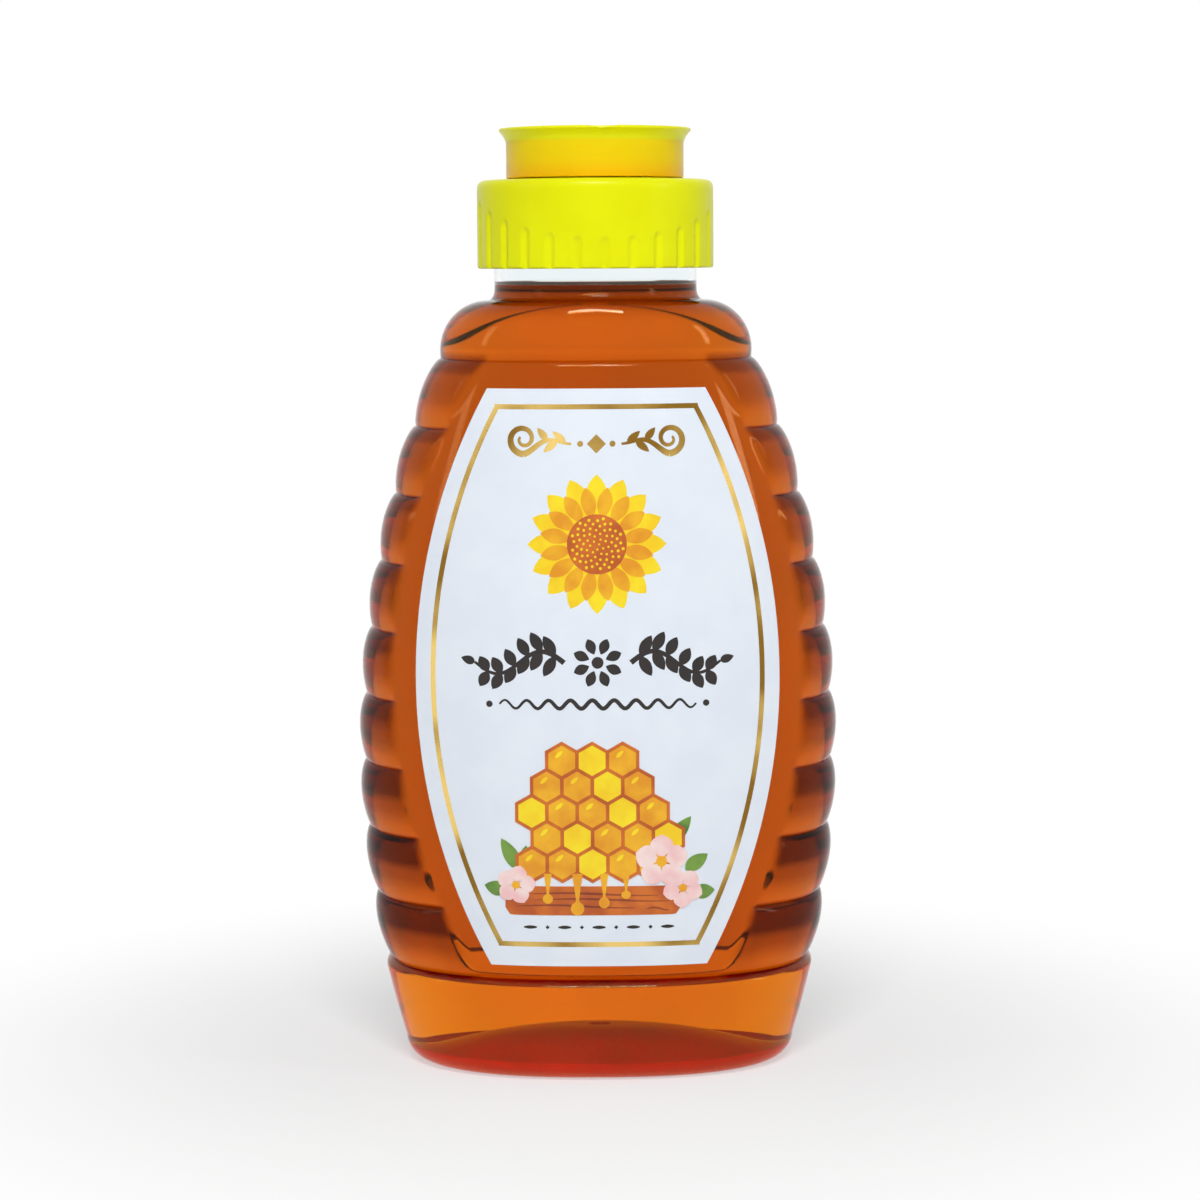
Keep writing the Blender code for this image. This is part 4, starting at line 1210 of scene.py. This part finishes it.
def draw_garland(art):
    """A flower between two leafy branches that grow outwards."""
    add_flower(
        art, 0.0, GARLAND_HEIGHT, GARLAND_PETAL_START, GARLAND_PETAL_END,
        GARLAND_PETAL_COUNT, GARLAND_PETAL_HALF_WIDTH, turn=pi / GARLAND_PETAL_COUNT,
    )
    add_disc(art, 0.0, GARLAND_HEIGHT, GARLAND_HEART_RADIUS, sides=24)
    for side in (-1, 1):
        def branch(share):
            across = BRANCH_START + BRANCH_LENGTH * share
            return side * across, GARLAND_HEIGHT + BRANCH_RISE * sin(2 * pi * share)

        add_stroke(art, branch, tapered(*BRANCH_HALF_WIDTHS), steps=28)
        for pair, place in enumerate(BRANCH_LEAF_PLACES):
            for spread in (-BRANCH_LEAF_SPREAD, BRANCH_LEAF_SPREAD):
                add_leaf(
                    art, *branch(place), BRANCH_LEAF_LENGTH - BRANCH_LEAF_SHRINK * pair,
                    BRANCH_LEAF_HALF_WIDTH, mirrored(spread, side), BRANCH_LEAF_FULLNESS,
                )
        add_leaf(
            art, *branch(1.0), BRANCH_TIP_LENGTH, BRANCH_TIP_HALF_WIDTH,
            mirrored(BRANCH_TIP_LEAN, side),
        )


def draw_wave(art):
    """A finer line of waves between two beads."""
    def wave(share):
        across = (2 * share - 1) * WAVE_HALF_LENGTH
        return across, WAVE_HEIGHT + WAVE_RISE * sin(WAVE_COUNT * 2 * pi * share)

    add_stroke(art, wave, swollen(*WAVE_SWELL), steps=150)
    for side in (-1, 1):
        add_disc(art, side * WAVE_BEAD_PLACE, WAVE_HEIGHT, WAVE_BEAD_RADIUS, sides=16)


def draw_dashes(art):
    """A row of dashes with small diamonds between them."""
    for mark in range(-4, 5):
        across = mark * DASH_PITCH
        if mark % 2:
            add_disc(art, across, DASH_HEIGHT, DASH_DIAMOND_RADIUS, sides=4)
            continue

        def dash(share):
            return across + (share - 0.5) * DASH_LENGTH, DASH_HEIGHT

        add_stroke(art, dash, swollen(*DASH_SWELL), steps=6)


# Sunflower

SUNFLOWER_HEIGHT = 92.2 * MM
PETAL_COUNT = 16
OUTER_PETALS = (4.6 * MM, 11.6 * MM)  # from and to these distances from its middle
OUTER_PETAL_HALF_WIDTH = 1.75 * MM
INNER_PETALS = (4.2 * MM, 9.6 * MM)
INNER_PETAL_HALF_WIDTH = 1.25 * MM
SUNFLOWER_HEART_RADIUS = 5.0 * MM
SEED_FIELD_RADIUS = 4.5 * MM
SEED_COUNT = 70
SEED_RADII = (0.16 * MM, 0.26 * MM)  # in the middle and at the field's edge
SEED_TURN = pi * (3.0 - sqrt(5.0))  # from each seed to the next, the golden angle


def draw_outer_petals(art):
    add_flower(art, 0.0, SUNFLOWER_HEIGHT, *OUTER_PETALS, PETAL_COUNT, OUTER_PETAL_HALF_WIDTH)


def draw_inner_petals(art):
    add_flower(
        art, 0.0, SUNFLOWER_HEIGHT, *INNER_PETALS, PETAL_COUNT, INNER_PETAL_HALF_WIDTH,
        turn=pi / PETAL_COUNT,
    )


def draw_sunflower_heart(art):
    add_disc(art, 0.0, SUNFLOWER_HEIGHT, SUNFLOWER_HEART_RADIUS, sides=48)


def draw_seeds(art):
    for seed in range(SEED_COUNT):
        share = sqrt((seed + 0.5) / SEED_COUNT)
        reach = SEED_FIELD_RADIUS * share
        turn = seed * SEED_TURN
        add_disc(
            art, reach * cos(turn), SUNFLOWER_HEIGHT + reach * sin(turn),
            part_way(*SEED_RADII, share), sides=10,
        )


# Honeycomb on a board, with leaves and blossoms

COMB_CELL = 2.95 * MM  # from a cell's middle to its corner
# Where each row starts, in cells across from COMB_START, and how many cells it has
COMB_ROWS = ((-2.5, 5), (-2.0, 5), (-2.5, 5), (-2.0, 4), (-1.5, 3))
COMB_START = (-1.0 * MM, 38.2 * MM)
COMB_WALL_SHARE = 1.1  # of a cell, out to the far side of its wax walls
COMB_FILL_SHARE = 0.88  # of a cell, filled inside its wax walls
GLINT_PLACE = (-1.1 * MM, 0.5 * MM)  # from a cell's middle
GLINT_LENGTH = 1.7 * MM
GLINT_HALF_WIDTH = 0.32 * MM
GLINT_LEAN = 0.75
BOARD_HEIGHT = 31.9 * MM
BOARD_START = -15.8 * MM
BOARD_LENGTH = 29.6 * MM
BOARD_HALF_HEIGHT = 2.5 * MM
BOARD_END_STEEPNESS = 26.0
BOARD_END_SHARE = 0.25
# Each line of the board's grain, in millimetres: its height over the board's middle, and
# from where to where it runs
BOARD_GRAIN = ((1.1, -13, 10), (0.1, -11, 12), (-1.0, -14, 6), (-1.5, 8, 12))
BOARD_GRAIN_RISE = 0.25 * MM
BOARD_GRAIN_BEND = 5.0
BOARD_GRAIN_SWELL = (0.04 * MM, 0.14 * MM)
DRIP_TOP = 36.6 * MM
# Each drip's place across, its length and half its width, in millimetres
DRIPS = ((-8.6, 5.2, 0.75), (-3.6, 7.2, 1.0), (0.9, 6.0, 0.8), (4.6, 4.4, 0.7))
DRIP_THREAD_SHARES = (0.9, 0.28)  # of its half width, at its top and where it is thinnest
DRIP_THIN_SHARE = 0.6  # of its length, down to where it is thinnest
DROP_MIDDLE_SHARE = 0.84
DROP_REACH_SHARE = 0.16
DROP_WIDTH_SHARE = 1.15
# Each leaf's place across, its height and its length in millimetres, and its lean
LEAVES = (
    (-13.2, 37.0, 6.4, 2.1), (-12.6, 36.2, 5.2, 1.5), (11.5, 41.0, 6.6, 0.9),
    (9.4, 42.2, 5.4, 1.75), (14.6, 37.0, 4.6, 0.6), (-15.6, 33.5, 3.8, 2.9),
    (16.0, 33.0, 3.6, 0.1),
)
LEAF_HALF_WIDTH = 1.25 * MM
LEAF_FULLNESS = 0.85
# Each blossom's place across, its height and its radius in millimetres, and its turn
BLOSSOMS = ((10.6, 38.6, 4.6, 0.3), (14.2, 33.9, 3.5, 0.9), (-14.0, 34.6, 3.4, 0.1))
BLOSSOM_PETAL_COUNT = 5
BLOSSOM_SHARES = (0.12, 1.0)  # of its radius, from where a petal starts to where it ends
BLOSSOM_PETAL_SHARE = 0.42  # half a petal's width
BLOSSOM_FULLNESS = 1.25
BLOSSOM_HEART_SHARE = 0.2


def comb_cells():
    """The middle of every cell of the comb, row by row, and its place in the pattern."""
    wide = COMB_CELL * sqrt(3.0)
    for row, (first, count) in enumerate(COMB_ROWS):
        for cell in range(count):
            yield (
                COMB_START[0] + (first + cell + 0.5) * wide,
                COMB_START[1] + row * COMB_CELL * 1.5,
                (row + cell) % 3,
            )


def draw_comb_walls(art):
    for across, height, _ in comb_cells():
        add_disc(art, across, height, COMB_CELL * COMB_WALL_SHARE, sides=6)


def draw_cells(art, chosen):
    for across, height, kind in comb_cells():
        if kind in chosen:
            add_disc(art, across, height, COMB_CELL * COMB_FILL_SHARE, sides=6)


def draw_full_cells(art):
    draw_cells(art, (0, 1))


def draw_capped_cells(art):
    draw_cells(art, (2,))


def draw_cell_glints(art):
    for across, height, _ in comb_cells():
        add_leaf(
            art, across + GLINT_PLACE[0], height + GLINT_PLACE[1], GLINT_LENGTH,
            GLINT_HALF_WIDTH, GLINT_LEAN, fullness=1.0, steps=6,
        )


def draw_board(art):
    def path(share):
        return BOARD_START + BOARD_LENGTH * share, BOARD_HEIGHT

    def half_height(share):
        end = BOARD_END_STEEPNESS * min(share, 1.0 - share) + BOARD_END_SHARE
        return BOARD_HALF_HEIGHT * sqrt(min(1.0, end))

    add_stroke(art, path, half_height, steps=40)


def draw_board_grain(art):
    for up, start, end in BOARD_GRAIN:
        def path(share):
            rise = up * MM + BOARD_GRAIN_RISE * sin(BOARD_GRAIN_BEND * share)
            return part_way(start, end, share) * MM, BOARD_HEIGHT + rise

        add_stroke(art, path, swollen(*BOARD_GRAIN_SWELL), steps=20)


def draw_drips(art):
    """Honey that runs out of the comb and over the board, with a drop at each end."""
    for across, length, width in DRIPS:
        def path(share):
            return across * MM, DRIP_TOP - length * MM * share

        def half_width(share):
            thread = part_way(*DRIP_THREAD_SHARES, min(share / DRIP_THIN_SHARE, 1.0))
            away = (share - DROP_MIDDLE_SHARE) / DROP_REACH_SHARE
            drop = DROP_WIDTH_SHARE * sqrt(max(0.0, 1.0 - away * away))
            return width * MM * max(thread, drop)

        add_stroke(art, path, half_width, steps=26)


def draw_leaves(art):
    for across, height, length, lean in LEAVES:
        add_leaf(
            art, across * MM, height * MM, length * MM, LEAF_HALF_WIDTH, lean, LEAF_FULLNESS
        )


def draw_blossoms(art):
    for across, height, radius, turn in BLOSSOMS:
        inner, outer = [radius * MM * share for share in BLOSSOM_SHARES]
        add_flower(
            art, across * MM, height * MM, inner, outer, BLOSSOM_PETAL_COUNT,
            radius * MM * BLOSSOM_PETAL_SHARE, turn, BLOSSOM_FULLNESS,
        )


def draw_blossom_hearts(art):
    for across, height, radius, _ in BLOSSOMS:
        add_disc(art, across * MM, height * MM, radius * MM * BLOSSOM_HEART_SHARE, sides=20)


def print_label():
    """Each ink of each layer is one piece, and a higher layer lies over the lower ones."""
    yellow = make_ink("ink_yellow", (255, 228, 26), (250, 208, 14))
    amber = make_ink("ink_amber", (246, 184, 26), (232, 152, 18))
    orange = make_ink("ink_orange", (214, 112, 30), (186, 84, 22))
    brown = make_ink("ink_brown", (160, 72, 26), (128, 52, 20))
    dark = make_ink("ink_dark", (34, 24, 20), (20, 14, 12))
    green = make_ink("ink_green", (118, 158, 62), (74, 118, 44))
    blush = make_ink("ink_blush", (252, 226, 222), (246, 196, 196))
    prints = (
        ("print_gold", gold_foil_painted_reflection, 1, (draw_border, draw_scroll)),
        ("print_dark", dark, 1, (draw_garland, draw_wave, draw_dashes)),
        ("print_petals_outer", yellow, 1, (draw_outer_petals,)),
        ("print_petals_inner", amber, 2, (draw_inner_petals,)),
        ("print_orange", orange, 3, (draw_sunflower_heart, draw_board)),
        ("print_seeds", yellow, 4, (draw_seeds,)),
        ("print_grain", brown, 4, (draw_board_grain,)),
        ("print_leaves", green, 4, (draw_leaves,)),
        ("print_comb", orange, 5, (draw_comb_walls,)),
        ("print_cells_full", amber, 6, (draw_full_cells, draw_drips)),
        ("print_cells_capped", yellow, 6, (draw_capped_cells,)),
        ("print_glints", yellow, 7, (draw_cell_glints,)),
        ("print_blossoms", blush, 8, (draw_blossoms,)),
        ("print_blossom_hearts", amber, 9, (draw_blossom_hearts,)),
    )
    for name, ink, layer, drawings in prints:
        art = bmesh.new()
        for draw in drawings:
            draw(art)
        print_ink(name, art, ink, layer)


# Closure


def flute_height(turn):
    """The line of the flutes' tops climbs from the front to the back."""
    climb = FLUTE_FRONT_HEIGHT + FLUTE_SWOOP * (1.0 - cos(turn))
    return min(climb, COLLAR_HEIGHT - FLUTE_TOP_MARGIN)


def press_flutes(bm):
    """Round-ended grooves all round the collar's outside."""
    pitch = 2 * pi / FLUTE_COUNT
    for vert in bm.verts:
        radius = hypot(vert.co.x, vert.co.y)
        if radius < COLLAR_RADIUS - COLLAR_BOTTOM_ROUND:
            continue
        turn = atan2(vert.co.x, -vert.co.y)
        middle = round(turn / pitch) * pitch
        beside = (turn - middle) * COLLAR_RADIUS
        above = max(0.0, vert.co.z - COLLAR_BOTTOM - flute_height(middle))
        away = beside * beside + above * above
        if away >= FLUTE_RADIUS * FLUTE_RADIUS:
            continue
        depth = sqrt(FLUTE_RADIUS * FLUTE_RADIUS - away) - (FLUTE_RADIUS - FLUTE_DEPTH)
        scale = min(1.0, (COLLAR_RADIUS - max(depth, 0.0)) / radius)
        vert.co.x *= scale
        vert.co.y *= scale


def make_collar():
    """Collar, deck, valve pocket and spout in one piece, with the thread and the flutes."""
    corners = (
        (COLLAR_BORE, COLLAR_BOTTOM, EDGE_ROUND),
        (COLLAR_RADIUS, COLLAR_BOTTOM, COLLAR_BOTTOM_ROUND),
        (COLLAR_RADIUS, DECK_TOP, COLLAR_TOP_ROUND),
        (BOSS_RADIUS, DECK_TOP, EDGE_ROUND * 2),
        (BOSS_RADIUS, BOSS_TOP, EDGE_ROUND * 2),
        (SPOUT_RADIUS, BOSS_TOP, EDGE_ROUND * 2),
        (SPOUT_RADIUS, SPOUT_TOP, SPOUT_ROUND),
        (ORIFICE_RADIUS, SPOUT_TOP, EDGE_ROUND * 2),
        (ORIFICE_RADIUS, POCKET_TOP, EDGE_ROUND / 2),
        (POCKET_RADIUS, POCKET_TOP, 0.0),
        (POCKET_RADIUS, DECK_UNDERSIDE, EDGE_ROUND),
        (COLLAR_BORE, DECK_UNDERSIDE, EDGE_ROUND * 2),
    )
    bm = spun(refined(softened(corners, 5), FINE_STEP), COLLAR_COLUMNS)
    press_flutes(bm)
    turn_to_stop(bm)
    grow_thread(
        bm, COLLAR_BORE, (COLLAR_BOTTOM, DECK_UNDERSIDE),
        MOUTH_HEIGHT - THREAD_DROP - THREAD_PITCH / 2, THREAD_TURNS, -THREAD_DEPTH,
    )
    collar = finish_piece(bm, "screw_collar", collar_yellow, "closure", "closure_base")


def make_hinge_rail():
    """The low bar at the back of the deck that holds the hinge's strap."""
    rail_back = HINGE_RAIL_FRONT + HINGE_RAIL_WIDTH
    bm = rounded_box(
        (-HINGE_HALF_WIDTH, HINGE_RAIL_FRONT, DECK_TOP - DECK_THICKNESS / 2),
        (HINGE_HALF_WIDTH, rail_back, DECK_TOP + HINGE_RAIL_HEIGHT),
        EDGE_ROUND,
    )
    turn_to_stop(bm)
    rail = finish_piece(bm, "hinge_rail", collar_yellow, "closure")


def cut_out(piece, cutters):
    """Cut closed shapes out of a piece's mesh."""
    for cutter in cutters:
        mesh = bpy.data.meshes.new("cutter")
        cutter.to_mesh(mesh)
        cutter.free()
        tool = bpy.data.objects.new("cutter", mesh)
        bpy.context.scene.collection.objects.link(tool)
        step = piece.modifiers.new("cut", "BOOLEAN")
        step.operation = "DIFFERENCE"
        step.solver = "EXACT"
        step.object = tool
        bpy.context.view_layer.update()
        evaluated = piece.evaluated_get(bpy.context.evaluated_depsgraph_get())
        result = bpy.data.meshes.new_from_object(evaluated)
        piece.modifiers.clear()
        piece.data = result
        bpy.data.objects.remove(tool, do_unlink=True)


def make_valve():
    """A dished silicone head on a thin sleeve, slit crosswise so that honey opens it."""
    flange = POCKET_RADIUS - SEAT_GAP
    sleeve = ORIFICE_RADIUS - SEAT_GAP
    inner = sleeve - VALVE_SLEEVE_THICKNESS
    rim_top = VALVE_FLANGE_TOP + VALVE_SLEEVE_HEIGHT
    dish = rim_top - VALVE_DISH
    under = VALVE_HEAD_THICKNESS
    corners = (
        (0.0, dish - under, 0.0),
        (inner / 2, dish - under + VALVE_DISH / 4, inner / 4),
        (inner, rim_top - under, EDGE_ROUND),
        (inner, VALVE_FLANGE_BOTTOM, EDGE_ROUND),
        (flange, VALVE_FLANGE_BOTTOM, EDGE_ROUND),
        (flange, VALVE_FLANGE_TOP, EDGE_ROUND),
        (sleeve, VALVE_FLANGE_TOP, EDGE_ROUND),
        (sleeve, rim_top, EDGE_ROUND),
        (inner, rim_top, EDGE_ROUND),
        (inner / 2, dish + VALVE_DISH / 4, inner / 4),
        (0.0, dish, 0.0),
    )
    bm = spun(softened(corners), SMALL_COLUMNS)
    turn_to_stop(bm)
    valve = finish_piece(bm, "slit_valve", silicone, "closure", "silicone_valve")
    low = dish - under - RUN_PAST
    high = rim_top + RUN_PAST
    long, short = SLIT_LENGTH / 2, SLIT_WIDTH / 2
    slits = []
    for across, along in ((long, short), (short, long)):
        slit = rounded_box((-across, -along, low), (across, along, high), SLIT_WIDTH / 8)
        turn_to_stop(slit)
        slits.append(slit)
    cut_out(valve, slits)


def spun_ring(outer, width, bottom, height, columns):
    """A flat ring with rounded edges."""
    inner, top = outer - width, bottom + height
    corners = [
        (inner, bottom, EDGE_ROUND), (outer, bottom, EDGE_ROUND),
        (outer, top, EDGE_ROUND), (inner, top, EDGE_ROUND),
    ]
    return spun(softened(corners), columns)


def make_lid():
    """The flip lid, a cup with a flared rim, a thumb notch and a plug for the spout."""
    rim = LID_RADIUS + LID_FLARE
    roof = LID_TOP - LID_ROOF
    plug = ORIFICE_RADIUS - SEAT_GAP
    plug_end = SPOUT_TOP - PLUG_REACH
    flare_start = LID_TOP - LID_EDGE - LID_FLARE_HEIGHT
    corners = [
        (LID_RADIUS - LID_WALL, LID_BOTTOM, EDGE_ROUND),
        (LID_RADIUS, LID_BOTTOM, EDGE_ROUND),
    ]
    for step in range(LID_FLARE_STEPS):
        share = step / LID_FLARE_STEPS
        flare = LID_FLARE * share ** LID_FLARE_POWER
        corners.append((LID_RADIUS + flare, flare_start + LID_FLARE_HEIGHT * share, 0.0))
    corners += [
        (rim, LID_TOP - LID_EDGE, EDGE_ROUND),
        (rim - LID_EDGE / 2, LID_TOP, LID_EDGE),
        (rim - LID_RIM_WIDTH, LID_TOP, EDGE_ROUND * 2),
        (rim - LID_RIM_WIDTH - LID_DISH_SLOPE, LID_TOP - LID_DISH, EDGE_ROUND * 2),
        (0.0, LID_TOP - LID_DISH, 0.0),
        (0.0, roof, 0.0),
        (plug - PLUG_WALL, roof, EDGE_ROUND),
        (plug - PLUG_WALL, plug_end, EDGE_ROUND),
        (plug - PLUG_TAPER, plug_end, EDGE_ROUND),
        (plug, SPOUT_TOP, EDGE_ROUND),
        (plug, roof, EDGE_ROUND),
        (LID_RADIUS - LID_WALL, roof, EDGE_ROUND * 2),
    ]
    bm = spun(softened(corners), LID_COLUMNS)
    for vert in bm.verts:
        share = 1.0 - (2.0 * vert.co.x / NOTCH_WIDTH) ** 2
        if share > 0.0 and vert.co.y < LID_WALL - LID_RADIUS:
            vert.co.z = min(vert.co.z, LID_TOP - NOTCH_DEPTH * share)
    turn_to_stop(bm)
    lid = finish_piece(bm, "flip_cap", lid_yellow_painted_shade, "lid", "flip_lid")


def make_hinge():
    """A thin strap from the deck's rail to the lid's wall, thinnest where it bends."""
    bm = bmesh.new()
    bmesh.ops.create_grid(bm, x_segments=HINGE_COLUMNS, y_segments=HINGE_ROWS, size=1.0)
    back = HINGE_RAIL_FRONT + EDGE_ROUND
    for vert in bm.verts:
        across = vert.co.x * HINGE_HALF_WIDTH
        wall = sqrt(LID_RADIUS ** 2 - across ** 2) - EDGE_ROUND
        share = (vert.co.y + 1.0) / 2.0
        vert.co = Vector((across, part_way(wall, back, share), HINGE_AXIS_HEIGHT))
    slots = [
        face for face in bm.faces
        if abs(abs(face.calc_center_median().x) - HINGE_SLOT_PLACE) < HINGE_SLOT_WIDTH / 2
        and abs(face.calc_center_median().y - HINGE_AXIS_BACK) < HINGE_SLOT_REACH
    ]
    bmesh.ops.delete(bm, geom=slots, context="FACES")
    top = bmesh.ops.extrude_face_region(bm, geom=bm.faces[:])["geom"]
    top_verts = set(part_verts(top))
    for vert in bm.verts:
        thick = smooth_step(abs(vert.co.y - HINGE_AXIS_BACK), HINGE_BEND, HINGE_BEND * 2)
        thickness = part_way(HINGE_WEB_THICKNESS, HINGE_LEAF_THICKNESS, thick)
        vert.co.z += thickness / 2 if vert in top_verts else -thickness / 2
    bmesh.ops.recalc_face_normals(bm, faces=bm.faces)
    turn_to_stop(bm)
    strap = finish_piece(bm, "hinge_strap", lid_yellow_painted_shade, None, "living_hinge")
    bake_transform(strap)


def make_retainer():
    """The ring that snaps into the pocket under the valve."""
    bm = spun_ring(
        POCKET_RADIUS - SEAT_GAP, RETAINER_WIDTH, DECK_UNDERSIDE, RETAINER_THICKNESS,
        SMALL_COLUMNS,
    )
    ring = finish_piece(bm, "snap_ring", natural_plastic, "closure", "valve_retainer")


def make_liner():
    """The foam ring between the deck and the bottle's mouth."""
    bm = spun_ring(
        COLLAR_BORE - SEAT_GAP, LINER_WIDTH, MOUTH_HEIGHT + SEAT_GAP, LINER_THICKNESS,
        LID_COLUMNS,
    )
    ring = finish_piece(bm, "foam_liner_ring", white_foam, "liner", "sealing_liner")


# Camera, floor and light

CAMERA_PLACE = (0.47 * MM, -550.0 * MM, 140.2 * MM)
CAMERA_PITCH = radians(6.23)
CAMERA_ROLL = radians(0.32)
CAMERA_LENS = 94.8  # in millimetres, as is the sensor's width
CAMERA_SENSOR = 36.0
NEAREST_SEEN = 0.02
FARTHEST_SEEN = 50.0
FLOOR_SIZE = 8.0
FLOOR_SPANS = 8
FLOOR_COLOUR = (0.96, 0.96, 0.96, 1.0)
FLOOR_SHADE_REACH = (0.045, 0.15)  # from where the floor turns white, and where it is
FLOOR_NEAR_WHITE_SHARE = 0.5
WHITE = (1.0, 1.0, 1.0, 1.0)
BACKDROP_STRENGTH = 1.0  # seen directly, mirrored or through glass
ROOM_STRENGTH = 0.25  # on the object
LAMP_TARGET = (0.0, 0.0, 0.09)
CLEAR_BOUNCES = 32  # light crosses many clear surfaces on its way through the bottle


def make_camera():
    data = bpy.data.cameras.new("photo_camera")
    data.sensor_width = CAMERA_SENSOR
    data.lens = CAMERA_LENS
    data.clip_start = NEAREST_SEEN
    data.clip_end = FARTHEST_SEEN
    camera = bpy.data.objects.new("photo_camera", data)
    camera.matrix_world = (
        Matrix.Translation(CAMERA_PLACE)
        @ Matrix.Rotation(pi / 2 - CAMERA_PITCH, 4, "X")
        @ Matrix.Rotation(-CAMERA_ROLL, 4, "Z")
    )
    bpy.context.scene.collection.objects.link(camera)
    bpy.context.scene.camera = camera


def seen_directly(tree):
    """1 for rays that show the background: straight, mirrored or through glass."""
    path = node_of(tree, "ShaderNodeLightPath")
    first = node_of(tree, "ShaderNodeMath", operation="MAXIMUM")
    second = node_of(tree, "ShaderNodeMath", operation="MAXIMUM")
    tree.links.new(path.outputs["Is Camera Ray"], first.inputs[0])
    tree.links.new(path.outputs["Is Glossy Ray"], first.inputs[1])
    tree.links.new(first.outputs["Value"], second.inputs[0])
    tree.links.new(path.outputs["Is Transmission Ray"], second.inputs[1])
    return second.outputs["Value"]


def make_floor():
    """A pale floor that keeps the bottle's shadow and turns white further away."""
    material = bpy.data.materials.new("pale_floor")
    material.use_nodes = True
    tree = material.node_tree
    shader = shader_of(material)
    set_inputs(shader, {
        "Base Color": FLOOR_COLOUR, "Roughness": 0.9, "Specular IOR Level": 0.1,
    })
    white = node_of(tree, "ShaderNodeEmission")
    mix = node_of(tree, "ShaderNodeMixShader")
    place = node_of(tree, "ShaderNodeTexCoord")
    far = node_of(tree, "ShaderNodeVectorMath", operation="LENGTH")
    fade = node_of(tree, "ShaderNodeMapRange", interpolation_type="SMOOTHSTEP")
    nearest, farthest = FLOOR_SHADE_REACH
    set_inputs(fade, {
        "From Min": nearest, "From Max": farthest, "To Min": FLOOR_NEAR_WHITE_SHARE,
    })
    share = node_of(tree, "ShaderNodeMath", operation="MULTIPLY")
    through = node_of(tree, "ShaderNodeMath", operation="MAXIMUM")
    path = node_of(tree, "ShaderNodeLightPath")
    tree.links.new(place.outputs["Object"], far.inputs[0])
    tree.links.new(far.outputs["Value"], fade.inputs["Value"])
    tree.links.new(fade.outputs["Result"], share.inputs[0])
    tree.links.new(seen_directly(tree), share.inputs[1])
    tree.links.new(share.outputs["Value"], through.inputs[0])
    tree.links.new(path.outputs["Is Transmission Ray"], through.inputs[1])
    tree.links.new(through.outputs["Value"], mix.inputs["Fac"])
    tree.links.new(shader.outputs["BSDF"], mix.inputs[1])
    tree.links.new(white.outputs["Emission"], mix.inputs[2])
    tree.links.new(mix.outputs["Shader"], tree.nodes["Material Output"].inputs["Surface"])
    bm = bmesh.new()
    bmesh.ops.create_grid(
        bm, x_segments=FLOOR_SPANS, y_segments=FLOOR_SPANS, size=FLOOR_SIZE / 2
    )
    floor = finish_piece(bm, "floor", material, None)


def make_world():
    world = bpy.data.worlds.new("studio")
    bpy.context.scene.world = world
    world.use_nodes = True
    tree = world.node_tree
    background = tree.nodes["Background"]
    set_inputs(background, {"Color": WHITE})
    strength = node_of(tree, "ShaderNodeMapRange")
    set_inputs(strength, {"To Min": ROOM_STRENGTH, "To Max": BACKDROP_STRENGTH})
    tree.links.new(seen_directly(tree), strength.inputs["Value"])
    tree.links.new(strength.outputs["Result"], background.inputs["Strength"])


def make_lamp(name, place, width, height, power):
    """A soft rectangular lamp that faces the object."""
    data = bpy.data.lights.new(name, "AREA")
    data.shape = "RECTANGLE"
    data.size = width
    data.size_y = height
    data.energy = power
    lamp = bpy.data.objects.new(name, data)
    lamp.location = place
    direction = Vector(LAMP_TARGET) - Vector(place)
    lamp.rotation_euler = direction.to_track_quat("-Z", "Y").to_euler()
    bpy.context.scene.collection.objects.link(lamp)


make_camera()
make_floor()
make_world()
make_lamp("front_softbox", place=(0.0, -0.75, 0.85), width=0.42, height=0.13, power=6.9)
make_lamp("left_softbox", place=(-0.95, -0.35, 0.5), width=0.12, height=0.5, power=0.5)
make_lamp("right_softbox", place=(0.95, -0.35, 0.5), width=0.12, height=0.5, power=1.0)
make_bottle()
make_honey()
make_label()
print_label()
make_collar()
make_hinge_rail()
make_lid()
make_hinge()
make_valve()
make_retainer()
make_liner()

bpy.context.scene.view_settings.view_transform = "Standard"
bpy.context.scene.cycles.max_bounces = CLEAR_BOUNCES
bpy.context.scene.cycles.transmission_bounces = CLEAR_BOUNCES
